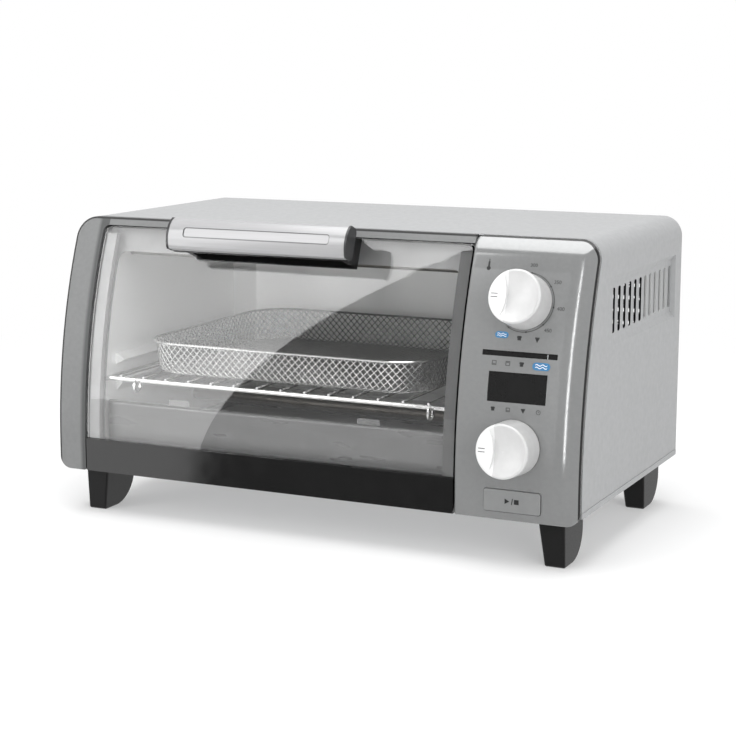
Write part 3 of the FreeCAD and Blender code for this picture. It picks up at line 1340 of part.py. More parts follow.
def make_knob(label, level):
    body = make_body(label + "_body")
    half = knob_across / 2
    gap = as_size(0.9)
    profile = outline(label + "_profile", "XZ_Plane",
                      [(0.0, 9.0), (0.0, knob_reach), (half - knob_draw, knob_reach, knob_round),
                       (half, gap), (half - 1.8, gap), (half - 2.4, 9.0)],
                      0.0, body)
    turned = body.newObject("PartDesign::Revolution", label + "_turned")
    turned.Profile = profile
    turned.ReferenceAxis = (profile, ["V_Axis"])
    turned.Angle = 360
    hub = circles(label + "_hub_plan", "XY_Plane", [(0.0, 0.0, shaft_across + 6)], 4.0, body)
    pad(body, label + "_hub", hub, 6.0)
    bore = circles(label + "_bore_plan", "XY_Plane", [(0.0, 0.0, shaft_across)], 3.0, body)
    pocket(body, label + "_bore", bore, knob_reach - 3 - 6, True)
    # The face is scooped out on the right of a bowed ridge that carries the pointer.
    bow_middle = as_size(-39.8)
    bow_radius = as_size(34.0)
    deep = as_size(3.4)
    across = half - 1.9
    ball = (across * across + deep * deep) / (deep * 2)
    scoop_plan = outline(label + "_scoop_plan", "XZ_Plane",
                         [(0.0, knob_reach - deep), (0.0, knob_reach + 1), (across, knob_reach + 1),
                          (across, knob_reach)], 0.0, None,
                         {3: (0.0, knob_reach - deep + ball, ball)})
    lens = doc.addObject("Part::Revolution", label + "_lens")
    lens.Source = scoop_plan
    lens.Axis = Z_AXIS
    lens.Angle = 360
    lens.Solid = True
    bow = rod(label + "_bow", (bow_middle, 0.0, knob_reach - deep - 1), bow_radius * 2, deep + 3)
    marks = [box(f"{label}_mark_{number}", (-half + 2.4, up, knob_reach - 0.35), 5.0, 0.5, 1.0)
             for number, up in enumerate((-1.4, 0.9), 1)]
    carved = cut(label + "_carved", body, cut(label + "_scoop", lens, bow), *marks)
    return lean_with_front(carved, label, knob_x, level)


def make_shaft(label, level):
    shaft = rod(label + "_rod", (0.0, 0.0, -9.0), shaft_across, knob_reach + 3 - 0.4)
    collar = rod(label + "_collar", (0.0, 0.0, -9.0), shaft_across + 4, 2.0)
    return lean_with_front(fuse(label + "_solid", shaft, collar), label, knob_x, level)


def make_encoder(label, level):
    case = box(label + "_case", (-8.0, -8.0, -14.5), 16.0, 16.0, 11.3)
    bush = rod(label + "_bush", (0.0, 0.0, -3.2), 9.0, 6.4)
    seat = rod(label + "_seat", (0.0, 0.0, -9.6), shaft_across + 5, 3.2)
    bore = rod(label + "_bore", (0.0, 0.0, -9.6), shaft_across + shaft_fit * 2, 14.0)
    pins = [box(f"{label}_pin_{number}", (-5.0 + 2.5 * number, -10.5, -13.5), 0.8, 3.0, 0.8)
            for number in range(5)]
    shape = cut(label + "_cut", fuse(label + "_solid", case, bush, *pins), seat, bore)
    return lean_with_front(shape, label, knob_x, level)


def make_controls():
    make_knob("mode_knob", mode_level)
    make_knob("time_knob", time_level)
    make_shaft("mode_shaft", mode_level)
    make_shaft("time_shaft", time_level)
    make_encoder("mode_switch", mode_level)
    make_encoder("time_encoder", time_level)
    nuts = []
    for number, level in enumerate((mode_level, time_level), 1):
        ring = front_rod(f"nut_ring_{number}", knob_x, level, 14.0, 0.0, 2.4)
        bore = front_rod(f"nut_bore_{number}", knob_x, level, 9.2, 1.0, 4.0)
        nuts.append(cut(f"nut_{number}", ring, bore))
    finish(group("nut_pair", nuts), "switch_nuts")

    up = button_level - front_straight
    cap = button_block("button_cap", 0.0, -0.7, 5.1)
    lip = front_box("button_lip", knob_x, front_straight, button_width + 3, button_height + 1.6, 4.6,
                    -bezel_plate + 0.7, 0.0, up)
    stem = front_rod("button_stem", knob_x, front_straight, 5.0, 7.6, -4.0, 0.0, up)
    finish(fuse("button_solid", cap, lip, stem), "start_button")
    board = front_box("button_board_plate", knob_x, front_straight, 60.0, 12.0, switch_depth + 1.6,
                      -switch_depth, 0.0, up)
    tact = front_box("button_tact", knob_x, front_straight, 6.0, 6.0, 14.1, -9.2, 0.0, up)
    finish(fuse("start_switch_solid", board, tact), "start_switch")

    lens = front_box("display_lens", knob_x, display_level, display_width - 0.1, display_height - 0.1,
                     2.4, -0.5)
    finish(group("display_lens_set", [lens]), "display_window")
    lamp = front_box("lamp_lens", knob_x, lamp_level, lamp_width - 0.1, lamp_height - 0.1, 2.4, -0.3)
    finish(group("lamp_lens_set", [lamp]), "indicator_window")
    module = front_box("display_block", knob_x, display_level, display_width + 4, display_height + 6,
                       board_depth, -4.2)
    finish(group("display_set", [module]), "display_module")
    plate = front_box("control_plate", knob_x, display_level, 66.0, 60.0, board_depth + 1.6, -board_depth)
    lamps = [front_box(f"lamp_{number}", knob_x, display_level, 3.0, 3.0, 12.1, -6.0,
                       -22.0 + 11.0 * number, lamp_level - display_level) for number in range(5)]
    chip = front_box("control_chip", knob_x, display_level, 14.0, 10.0, 15.8, -13.4, -14.0, -16.0)
    finish(fuse("control_board_solid", plate, *lamps, chip), "control_board")

    level = base_top + 7
    board = box("power_plate", (132.0, 84.0, level), 62.0, 104.0, 1.6)
    parts = [box("power_transformer", (138.0, 92.0, level + 1.5), 30.0, 26.0, 24.0),
             box("power_relay_1", (138.0, 128.0, level + 1.5), 16.0, 19.0, 15.0),
             box("power_relay_2", (138.0, 154.0, level + 1.5), 16.0, 19.0, 15.0),
             rod("power_capacitor", (178.0, 102.0, level + 1.5), 13.0, 20.0),
             box("power_terminals", (176.0, 140.0, level + 1.5), 14.0, 34.0, 12.0)]
    finish(fuse("power_solid", board, *parts), "power_board")
    posts = [rod(f"post_{side_x}_{side_y}", (136.0 + 54.0 * side_x, 88.0 + 96.0 * side_y, base_top), 6.0, 7.0)
             for side_x in range(2) for side_y in range(2)]
    finish(group("post_set", posts), "board_posts")


# Fan behind the right wall of the cavity

def make_fan():
    wall = cavity_right + liner
    half = fan_across / 2
    hub = rod("fan_hub", (wall + 3, fan_depth, fan_level), 16.0, 12.0, "X")
    bore = rod("fan_bore", (wall + 2, fan_depth, fan_level), 5.0, 14.0, "X")
    disc = rod("fan_disc", (wall + 13, fan_depth, fan_level), fan_across, 1.0, "X")
    blades = []
    for number in range(9):
        blade = box(f"fan_blade_{number + 1}", (wall + 4, fan_depth, fan_level), 9.5, 1.0, half - 1)
        pitch = FreeCAD.Placement(Vector(), Rotation(X_AXIS, 40.0 * number))
        blade.Placement = pitch
        for letter, value in zip("xyz", (wall + 4, fan_depth, fan_level)):
            blade.setExpression(f"Placement.Base.{letter}", value.text)
        blades.append(blade)
    finish(cut("fan_cut", fuse("fan_solid", hub, disc, *blades), bore), "fan_wheel")
    shaft = rod("motor_shaft_rod", (wall + 3, fan_depth, fan_level), 5.0, 26.0, "X")
    finish(group("motor_shaft_set", [shaft]), "fan_shaft")

    pan = rod("shroud_pan", (wall, fan_depth, fan_level), fan_across + 14, 20.0, "X")
    inside = rod("shroud_inside", (wall - 1, fan_depth, fan_level), fan_across + 12, 20.0, "X")
    ear = box("shroud_ear", (wall, fan_depth - half - 14, fan_level - 8), 1.0, fan_across + 28, 16.0)
    hole = rod("shroud_hole", (wall, fan_depth, fan_level), 12.0, 24.0, "X")
    finish(cut("shroud_cut", fuse("shroud_solid", pan, ear), inside, hole), "fan_shroud")

    back = wall + 20
    strap = box("strap", (back, fan_depth - 34, fan_level - 11), 1.2, 68.0, 22.0)
    strap_hole = rod("strap_hole", (back - 1, fan_depth, fan_level), 12.0, 4.0, "X")
    finish(cut("strap_cut", strap, strap_hole), "motor_bracket")

    can = rod("motor_can", (back + 1.2, fan_depth, fan_level), 44.0, 10.0, "X")
    core = box("motor_core", (back + 9, fan_depth - 27, fan_level - 24), 16.0, 54.0, 48.0)
    coil = rod("motor_coil", (back + 25, fan_depth, fan_level), 36.0, 9.0, "X")
    well = rod("motor_well", (back, fan_depth, fan_level), 5.0 + shaft_fit * 2, 10.0, "X")
    finish(cut("motor_cut", fuse("motor_solid", can, core, coil), well), "fan_motor")


def make_vent_guard():
    near = side_inner - 5
    low = vent_level - 27.5
    tall = as_size(55.0)
    start = vent_start - 8
    length = vent_pitch * (vent_count - 1) + 16
    tray = box("guard_tray", (near, start, low), side_inner - near, length, tall)
    inside = box("guard_inside", (near + 1, start - 1, low + 1), side_inner - near, length + 2, tall - 2)
    half = vent_pitch * (vent_count / 2) + 5
    windows = []
    bar = as_size(1.0)
    height = (tall - 8 - bar * 3) / 4
    for number in range(4):
        windows.append(box(f"guard_window_{number + 1}",
                           (near - 1, start + 3, low + 4 + (height + bar) * number), 4.0, half, height))
    finish(cut("guard_cut", tray, inside, *windows), "vent_guard")


make_casing()
make_front_frame()
make_control_panel()
make_rear_panel()
make_base_plate()
make_feet()
make_screws()
make_gland()
make_cavity()
make_cavity_ends()
make_heaters()
make_probe()
make_tray()
make_rack()
make_basket()
make_door()
make_handle()
make_controls()
make_fan()
make_vent_guard()
doc.recompute()


# Check every object, then write one file for each sub-part

for obj in doc.Objects:
    if "Invalid" in obj.State or "Error" in obj.State:
        raise RuntimeError(f"{obj.Name} did not compute: {obj.State}")
for obj in sub_parts:
    if obj.Shape.isNull() or not obj.Shape.isValid() or not obj.Shape.Solids:
        raise RuntimeError(f"{obj.Label} has no valid solid")
os.makedirs("parts", exist_ok=True)
for obj in sub_parts:
    obj.Shape.exportStep(f"parts/{obj.Label}.step")
    print(f"{obj.Label}: {len(obj.Shape.Solids)} solid(s), {obj.Shape.Volume:.0f} cubic millimetres")
print(f"depth over the lower knob and the bulge: {rear_end.value - knob_front.value:.2f} mm")
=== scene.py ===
import json
import math

import bmesh
import bpy
from mathutils import Matrix, Vector


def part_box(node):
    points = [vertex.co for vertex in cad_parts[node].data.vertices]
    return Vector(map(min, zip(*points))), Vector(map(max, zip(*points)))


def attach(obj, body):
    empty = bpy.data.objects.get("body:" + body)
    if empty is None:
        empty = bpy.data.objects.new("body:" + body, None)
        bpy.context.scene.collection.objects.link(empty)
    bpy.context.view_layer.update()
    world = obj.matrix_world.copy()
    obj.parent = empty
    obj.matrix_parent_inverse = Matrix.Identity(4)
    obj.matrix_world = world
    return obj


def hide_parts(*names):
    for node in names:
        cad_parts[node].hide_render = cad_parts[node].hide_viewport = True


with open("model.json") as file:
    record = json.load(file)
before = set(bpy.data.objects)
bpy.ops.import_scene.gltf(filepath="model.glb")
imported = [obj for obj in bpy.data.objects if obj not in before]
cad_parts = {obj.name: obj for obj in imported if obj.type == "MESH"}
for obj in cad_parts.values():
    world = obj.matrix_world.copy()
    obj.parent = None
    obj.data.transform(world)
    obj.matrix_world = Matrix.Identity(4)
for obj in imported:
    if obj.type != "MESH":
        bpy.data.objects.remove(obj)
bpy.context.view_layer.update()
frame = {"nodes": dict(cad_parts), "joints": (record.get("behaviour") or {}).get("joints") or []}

MM = 0.001


def joint(name):
    """Joint of the frame with this name."""
    return next(entry for entry in frame["joints"] if entry["name"] == name)


# Places of the frame

CASING_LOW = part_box("casing_wrap")[0].z
FRONT_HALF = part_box("casing_wrap")[1].x
FRONT_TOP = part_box("casing_wrap")[1].z
FRONT_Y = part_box("door_rail")[0].y
GLASS_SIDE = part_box("door_glass")[0].x
BASKET_LOW, BASKET_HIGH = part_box("basket_mesh")
KNOB_X = (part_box("time_shaft")[0].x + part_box("time_shaft")[1].x) / 2
MODE_Z = Vector(joint("mode_knob_turn")["pos_m"]).z

# The front's face is upright at the bottom and an arc above, seen from the side.
FRONT_RADIUS = 426 * MM
ARC_START = CASING_LOW + 15 * MM

# Where the finish of a piece changes

RIM_RADIUS = 15 * MM                    # corners of the front's outline
RIM_SHADE_LINE = 1.3 * MM                     # painted shade line along that outline
SEAM_SHADE_START = 3.0 * MM                   # front's face to the painted shade in the shadow groove behind it
BORDER_SIDE = FRONT_HALF - 18 * MM      # rounded border of the control panel
BORDER_TOP = FRONT_TOP - 22 * MM
BORDER_SOFT = 3.0 * MM                  # how far the lacquer rounds that border's creases
BORDER_ROUGH = 0.11
EDGE_SHADE_START = GLASS_SIDE - 6.5 * MM      # painted shade on the left pillar's edge, beside the glass
EDGE_SHADE_FULL = GLASS_SIDE - 3.5 * MM
EDGE_SHADE_END = GLASS_SIDE + 3 * MM
KNOB_HIGHLIGHT_SIDE = KNOB_X - 5.8 * MM           # right side of the knobs' flat part, which has a painted highlight
GROOVE_MIDDLE = Vector((-34.0, 0.0, 221.33)) * MM       # finger groove of the handle
GROOVE_HALF = 59 * MM                   # half its length
GROOVE_TALL = 3.25 * MM                 # half its height
GROOVE_ROUND = 2 * MM                   # its corners
GROOVE_SHADE_LINE = 0.35 * MM                 # half the width of the painted shade line round it
HANDLE_OUT = (0.0, -0.932, 0.363)       # the handle's way out of the door
HANDLE_REAR = 183.4 * MM                # its rear edges, along that way
VENT_LEVEL = CASING_LOW + 134.8 * MM    # middle of the vent's slots
VENT_HALF = 17 * MM                     # half their height
VENT_FIRST = FRONT_Y + 60 * MM
VENT_OPEN_END = FRONT_Y + 139.5 * MM    # the slots behind this are closed from inside
VENT_LAST = FRONT_Y + 205 * MM
VENT_FACING = 0.3                       # most that a slot's edge faces sideways
WIRE_SHADE_START = BASKET_LOW.y + 4 * MM      # painted shade on the basket's wire behind its front wall
WIRE_SHADE_FULL = BASKET_LOW.y + 16 * MM
BOTTOM_END = BASKET_LOW.z + 1.2 * MM    # and less so in its bottom than in its walls
WALL_START = BASKET_LOW.z + 4 * MM
BOTTOM_SHADE = 0.6


# Node and material tools

def srgb(code):
    """Linear colour of an sRGB hex value."""
    def channel(text):
        value = int(text, 16) / 255
        return value / 12.92 if value <= 0.04045 else ((value + 0.055) / 1.055) ** 2.4
    return tuple(channel(code[i:i + 2]) for i in (1, 3, 5)) + (1.0,)


def add(tree, kind, inputs=None, **settings):
    """Add a node, set it up and link its inputs."""
    node = tree.nodes.new(kind)
    for name, value in settings.items():
        setattr(node, name, value)
    for name, value in (inputs or {}).items():
        if isinstance(value, bpy.types.NodeSocket):
            tree.links.new(value, node.inputs[name])
        else:
            node.inputs[name].default_value = value
    return node


def calculate(tree, operation, *values):
    """Result of a Math node."""
    node = add(tree, "ShaderNodeMath", dict(enumerate(values)), operation=operation)
    return node.outputs["Value"]


def calculate_vector(tree, operation, *values):
    """Result of a Vector Math node: a number for a length or a dot product, else a vector."""
    node = add(tree, "ShaderNodeVectorMath", dict(enumerate(values)), operation=operation)
    return node.outputs["Value" if operation in ("LENGTH", "DOT_PRODUCT") else "Vector"]


def ramp(tree, source, start, end, low=0.0, high=1.0, kind="LINEAR"):
    """Map the range from start to end of a value to a range of low to high."""
    return add(tree, "ShaderNodeMapRange", {"Value": source, "From Min": start, "From Max": end,
                                            "To Min": low, "To Max": high},
               interpolation_type=kind).outputs["Result"]


def between(tree, source, low, high):
    """Spread a noise of about 0.3 to 0.7 over a range."""
    return ramp(tree, source, 0.3, 0.7, low, high)


def mix(tree, kind, factor, first, second):
    """Blend of two sockets or plain values, of the kind RGBA, VECTOR or FLOAT."""
    return add(tree, "ShaderNodeMix", {"Factor": factor, "A": first, "B": second},
               data_type=kind).outputs["Result"]


def mix_shader(tree, factor, first, second):
    """Blend of two shaders."""
    return add(tree, "ShaderNodeMixShader", {0: factor, 1: first, 2: second}).outputs["Shader"]


def object_point(tree):
    """Object coordinates of the shaded point."""
    return add(tree, "ShaderNodeTexCoord").outputs["Object"]


def axes(tree, vector):
    """X, Y and Z of a vector."""
    return add(tree, "ShaderNodeSeparateXYZ", {"Vector": vector}).outputs


def grain(tree, size, stretch=(1.0, 1.0, 1.0), detail=3.0):
    """Noise on object coordinates whose patches are about so large, in metres."""
    mapped = add(tree, "ShaderNodeMapping", {"Vector": object_point(tree), "Scale": stretch})
    return add(tree, "ShaderNodeTexNoise", {"Vector": mapped.outputs["Vector"],
                                            "Scale": 1.0 / size, "Detail": detail}).outputs["Fac"]


def new_material(name):
    """Empty material with its output node."""
    material = bpy.data.materials.new(name)
    material.use_nodes = True
    tree = material.node_tree
    tree.nodes.clear()
    return material, tree, add(tree, "ShaderNodeOutputMaterial")


def surface(name, colour, shade, metallic, rough, size, stretch=(1.0, 1.0, 1.0), bump=0.0,
            bump_size=None, specular=0.5):
    """Material whose colour, roughness and relief vary with one grain of a real size."""
    material, tree, output = new_material(name)
    noise = grain(tree, size, stretch)
    spread = between(tree, noise, 0.0, 1.0)
    shader = add(tree, "ShaderNodeBsdfPrincipled", {
        "Base Color": mix(tree, "RGBA", spread, srgb(colour), srgb(shade)),
        "Metallic": metallic,
        "Roughness": between(tree, noise, *rough),
        "Specular IOR Level": specular})
    if bump:
        relief = add(tree, "ShaderNodeBump", {"Height": grain(tree, bump_size or size, stretch),
                                              "Strength": 0.5, "Distance": bump})
        tree.links.new(relief.outputs["Normal"], shader.inputs["Normal"])
    tree.links.new(shader.outputs["BSDF"], output.inputs["Surface"])
    return material


def principled(material):
    """Main shader of a material."""
    return next(node for node in material.node_tree.nodes if node.type == "BSDF_PRINCIPLED")


def recolour(material, share, colour):
    """Mix a second colour, a code or a socket, into a material's base colour by a mask."""
    tree = material.node_tree
    base = principled(material).inputs["Base Color"]
    second = srgb(colour) if isinstance(colour, str) else colour
    tree.links.new(mix(tree, "RGBA", share, base.links[0].from_socket, second), base)
    return material


def paint_seam_shade(material):
    """Painted shade on a front piece: along its rim, and from where its shadow groove starts."""
    tree = material.node_tree
    place = object_point(tree)
    corner = calculate_vector(tree, "SUBTRACT", calculate_vector(tree, "ABSOLUTE", place),
                              (FRONT_HALF - RIM_RADIUS, 0.0, FRONT_TOP - RIM_RADIUS))
    beyond = calculate_vector(tree, "MAXIMUM", corner, (0.0, -1.0, 0.0))
    level = calculate_vector(tree, "MULTIPLY", beyond, (1.0, 0.0, 1.0))
    rim = calculate(tree, "GREATER_THAN", calculate_vector(tree, "LENGTH", level),
                    RIM_RADIUS - RIM_SHADE_LINE)
    moved = calculate_vector(tree, "SUBTRACT", place, (0.0, FRONT_Y + FRONT_RADIUS, ARC_START))
    upper = calculate_vector(tree, "MAXIMUM", moved, (-1.0, -1.0, 0.0))
    aside = calculate_vector(tree, "MULTIPLY", upper, (0.0, 1.0, 1.0))
    behind = calculate(tree, "LESS_THAN", calculate_vector(tree, "LENGTH", aside),
                       FRONT_RADIUS - SEAM_SHADE_START)
    return recolour(material, calculate(tree, "MAXIMUM", rim, behind), "#2e2e2e")


def paint_slot_shade_and_light(material):
    """Slot edges: dark painted shade where a slot is open, pale painted light where it is closed.
    """
    tree = material.node_tree
    place = axes(tree, object_point(tree))
    facing = axes(tree, add(tree, "ShaderNodeTexCoord").outputs["Normal"])
    share = calculate(tree, "COMPARE", facing["X"], 0.0, VENT_FACING)
    for part in (calculate(tree, "COMPARE", place["Z"], VENT_LEVEL, VENT_HALF),
                 calculate(tree, "COMPARE", place["Y"], (VENT_FIRST + VENT_LAST) / 2,
                           (VENT_LAST - VENT_FIRST) / 2),
                 calculate(tree, "GREATER_THAN", place["X"], 0.0)):
        share = calculate(tree, "MULTIPLY", share, part)
    # Painted shade in the open slots, painted light in the closed ones
    closed = calculate(tree, "GREATER_THAN", place["Y"], VENT_OPEN_END)
    return recolour(material, share, mix(tree, "RGBA", closed, srgb("#0c0c0c"), srgb("#c4c4c4")))


# Materials

def satin_lacquer():
    """Silver lacquer sprayed on the moulded control panel, with flakes that mirror the dim room
    and the knobs. Its own thickness softens the creases of the border."""
    # Painted shade along the rim and in the shadow groove behind the face
    material = paint_seam_shade(surface("silver_lacquered_abs", "#929393", "#8e8f8f", 0.45,
                                   (0.16, 0.2), 3 * MM))
    tree = material.node_tree
    shader = principled(material)
    place = axes(tree, object_point(tree))
    border = calculate(tree, "MAXIMUM", calculate(tree, "GREATER_THAN", place["X"], BORDER_SIDE),
                       calculate(tree, "GREATER_THAN", place["Z"], BORDER_TOP))
    sharp = add(tree, "ShaderNodeNewGeometry").outputs["Normal"]
    soft = add(tree, "ShaderNodeBevel", {"Radius": BORDER_SOFT}, samples=8).outputs["Normal"]
    tree.links.new(mix(tree, "VECTOR", border, sharp, soft), shader.inputs["Normal"])
    rough = shader.inputs["Roughness"]
    tree.links.new(mix(tree, "FLOAT", border, rough.links[0].from_socket, BORDER_ROUGH), rough)
    return material


def frame_lacquer():
    """The same lacquer on the door's frame, where it is duller, with painted shade along the edge
    beside the glass."""
    material = surface("dull_silver_lacquered_abs", "#7a7b7b", "#767777", 0.1, (0.46, 0.52),
                       3 * MM)
    tree = material.node_tree
    across = axes(tree, object_point(tree))["X"]
    # Painted shade along the edge beside the glass, then along the rim and in the shadow groove
    edge = calculate(tree, "MULTIPLY", ramp(tree, across, EDGE_SHADE_START, EDGE_SHADE_FULL),
                     calculate(tree, "LESS_THAN", across, EDGE_SHADE_END))
    return paint_seam_shade(recolour(material, edge, "#4e4f4f"))


def painted_abs():
    """Knobs: ABS with a pale silver paint under a satin lacquer. The flat part beside the finger
    hollow carries a painted highlight, nearly white."""
    material = surface("pale_silver_painted_abs", "#c6c6c6", "#c1c1c1", 0.1, (0.3, 0.36), 5 * MM,
                       specular=0.4)
    tree = material.node_tree
    # Painted highlight on the flat part
    flat = calculate(tree, "LESS_THAN", axes(tree, object_point(tree))["X"], KNOB_HIGHLIGHT_SIDE)
    return recolour(material, flat, "#dcdcdc")


def handle_metal():
    """Pale silver-painted aluminium of the handle, with its grain along the bar. Painted shade
    draws a dark line round the finger groove, and the bar is darker along its rear edges."""
    material = surface("silver_painted_aluminium", "#a8a8a9", "#a4a4a5", 0.15, (0.14, 0.2),
                       0.8 * MM, stretch=(0.02, 1.0, 1.0))
    tree = material.node_tree
    place = object_point(tree)
    # Painted shade: a dark line round the finger groove
    moved = calculate_vector(tree, "SUBTRACT", place, GROOVE_MIDDLE)
    corner = calculate_vector(tree, "SUBTRACT", calculate_vector(tree, "ABSOLUTE", moved),
                              (GROOVE_HALF - GROOVE_ROUND, 1.0, GROOVE_TALL - GROOVE_ROUND))
    beyond = calculate_vector(tree, "MAXIMUM", corner, (0.0, 0.0, 0.0))
    edge = calculate(tree, "COMPARE", calculate_vector(tree, "LENGTH", beyond), GROOVE_ROUND,
                     GROOVE_SHADE_LINE)
    recolour(material, edge, "#6e6e6f")
    # Darker along the bar's rear edges
    rear = calculate(tree, "LESS_THAN", calculate_vector(tree, "DOT_PRODUCT", place, HANDLE_OUT),
                     HANDLE_REAR)
    return recolour(material, rear, "#2c2c2d")


def stainless_wire():
    """Woven stainless wire of the basket, bright at the front. Painted shade darkens the walls
    behind, and the bottom less."""
    material = surface("stainless_steel_wire", "#f0f0ef", "#e4e4e3", 0.9, (0.14, 0.22), 4 * MM)
    tree = material.node_tree
    place = axes(tree, object_point(tree))
    # Painted shade behind the front wall, weaker in the bottom
    share = calculate(tree, "MULTIPLY", ramp(tree, place["Y"], WIRE_SHADE_START, WIRE_SHADE_FULL),
                      ramp(tree, place["Z"], BOTTOM_END, WALL_START, BOTTOM_SHADE))
    return recolour(material, share, "#757574")


def pressed_zinc():
    """Vent guard pressed from thin sheet with a dull zinc finish, with painted shade where its bars
    cross the open slots."""
    material = surface("pressed_zinc_grey_sheet", "#adaeae", "#a6a7a7", 0.2, (0.55, 0.62), 8 * MM)
    tree = material.node_tree
    # Painted shade on the bars in front of the open slots
    bars = calculate(tree, "LESS_THAN", axes(tree, object_point(tree))["Y"], VENT_OPEN_END)
    return recolour(material, bars, "#3c3c3c")


def clear_glass():
    """Tempered soda-lime glass: clear, with faint smears, and open to the lamps' light."""
    material, tree, output = new_material("tempered_soda_lime_glass")
    smear = grain(tree, 40 * MM)
    spread = between(tree, smear, 0.0, 1.0)
    pane = add(tree, "ShaderNodeBsdfPrincipled", {
        "Base Color": mix(tree, "RGBA", spread, srgb("#fdfdfd"), srgb("#fbfbfb")),
        "Roughness": between(tree, smear, 0.0, 0.015),
        "IOR": 1.52,
        "Transmission Weight": 1.0})
    clear = add(tree, "ShaderNodeBsdfTransparent", {"Color": srgb("#f6f7f7")})
    shadow = add(tree, "ShaderNodeLightPath").outputs["Is Shadow Ray"]
    tree.links.new(mix_shader(tree, shadow, pane.outputs["BSDF"], clear.outputs["BSDF"]),
                   output.inputs["Surface"])
    return material


def aluminised_sheet(name, colour, shade, metallic):
    """Cold-rolled steel with a hot-dipped aluminium coating: soft, cloudy reflections."""
    return surface(name, colour, shade, metallic, (0.36, 0.42), 30 * MM)


def satin_sheet(name, colour, shade):
    """Satin steel of the cavity's front flange and of the strips behind the glass."""
    return surface(name, colour, shade, 0.2, (0.4, 0.5), 9 * MM)


def ink(name, colour, shade):
    """Pad-printed ink."""
    return surface(name, colour, shade, 0.0, (0.4, 0.5), 1.5 * MM)


LACQUER = satin_lacquer()
FRAME_LACQUER = frame_lacquer()
# Powder-coated steel sheet in a paler silver, with a very fine orange peel
# Painted shade and painted light on the edges of its vent's slots
CASING = paint_slot_shade_and_light(surface("silver_powder_coated_steel", "#a3a4a5", "#9fa0a1", 0.25,
                              (0.42, 0.48), 4 * MM, bump=0.002 * MM, bump_size=1.6 * MM))
# Gloss-moulded black ABS of the door's rail and the handle's core
GLOSS_BLACK = surface("gloss_black_abs", "#101010", "#141414", 0.0, (0.06, 0.1), 12 * MM,
                      specular=0.3)
# Black polypropylene from a spark-eroded mould, whose grain is drawn coarser than it is
MATT_BLACK = surface("grained_black_polypropylene", "#121212", "#181818", 0.0, (0.4, 0.5),
                     1.2 * MM, bump=0.04 * MM, specular=0.3)
KNOB_PAINT = painted_abs()
HANDLE = handle_metal()
# Smooth dark grey ABS of the handle's end caps
CAP_GREY = surface("dark_grey_abs", "#3a3a3b", "#343435", 0.0, (0.16, 0.24), 6 * MM)
ALUMINISED = aluminised_sheet("aluminised_steel_sheet", "#e6e6e5", "#e1e1e0", 0.35)
BACK_SHEET = aluminised_sheet("rolled_aluminised_steel", "#dededd", "#dadad9", 0.6)
SATIN_SHEET = satin_sheet("satin_steel_sheet", "#8f8f8f", "#898989")
# The same satin steel painted darker: painted shade for the strip on the right, behind the glass
SHADED_STRIP_SHEET = satin_sheet("grey_steel_strip", "#545454", "#4f4f4f")
# Darker, smoother steel of the crumb tray
TRAY_SHEET = surface("crumb_tray_steel", "#707070", "#6a6a6a", 0.5, (0.26, 0.34), 12 * MM,
                     stretch=(0.2, 1.0, 1.0))
# Galvanised sheet of the back and underside
ZINC_SHEET = surface("galvanised_steel_sheet", "#a9abac", "#9a9c9e", 0.8, (0.36, 0.5), 14 * MM,
                     bump=0.01 * MM, bump_size=5 * MM)
# Nickel-chromium plated wire of the rack
CHROMED = surface("chromed_steel_wire", "#e9e9e8", "#dededd", 1.0, (0.1, 0.2), 6 * MM)
STAINLESS = stainless_wire()
# Sheathed heating tubes, browned a little by heat
HEATER = surface("heat_tinted_steel_tube", "#8d8a86", "#77726c", 0.8, (0.35, 0.5), 16 * MM,
                 stretch=(0.4, 1.0, 1.0))
# Pressed steatite ceramic of the tube holders
STEATITE = surface("steatite_ceramic", "#e3dfd5", "#d8d3c8", 0.0, (0.6, 0.75), 2 * MM,
                   bump=0.03 * MM)
# Turned steel of shafts and pins
TURNED = surface("turned_steel", "#c9c9c9", "#bcbcbc", 1.0, (0.2, 0.3), 1 * MM,
                 stretch=(0.2, 1.0, 1.0))
# Zinc-plated screws and nuts, faintly yellow-blue
ZINC = surface("zinc_plated_steel", "#bfc3c6", "#b2b4ad", 0.9, (0.25, 0.38), 2.5 * MM)
# Glass-filled nylon of switches and posts
NYLON = surface("black_glass_filled_nylon", "#262627", "#303031", 0.0, (0.45, 0.6), 0.9 * MM,
                bump=0.03 * MM)
GUARD = pressed_zinc()
# Smoked acrylic windows over the display and lamps
SMOKED = surface("smoked_acrylic", "#171717", "#1b1b1b", 0.0, (0.08, 0.12), 15 * MM,
                 specular=0.35)
# Epoxy boards under green solder mask
BOARD = surface("green_solder_mask", "#1f5b36", "#256a40", 0.0, (0.25, 0.4), 3 * MM)
# Punched steel laminations of the fan motor, stacked along X
LAMINATION = surface("motor_lamination_steel", "#8f9092", "#77787a", 0.8, (0.4, 0.55), 1.2 * MM,
                     stretch=(1.0, 0.05, 0.05))
# The start button: the panel's lacquer in a duller spray
BUTTON = surface("silver_lacquered_button", "#989999", "#949595", 0.5, (0.3, 0.34), 6 * MM)
GLASS = clear_glass()
DARK_INK = ink("dark_grey_ink", "#19191a", "#202021")
BLUE_INK = ink("blue_ink", "#276996", "#2e719d")
PALE_INK = ink("white_ink", "#f1f4f6", "#e8ecef")

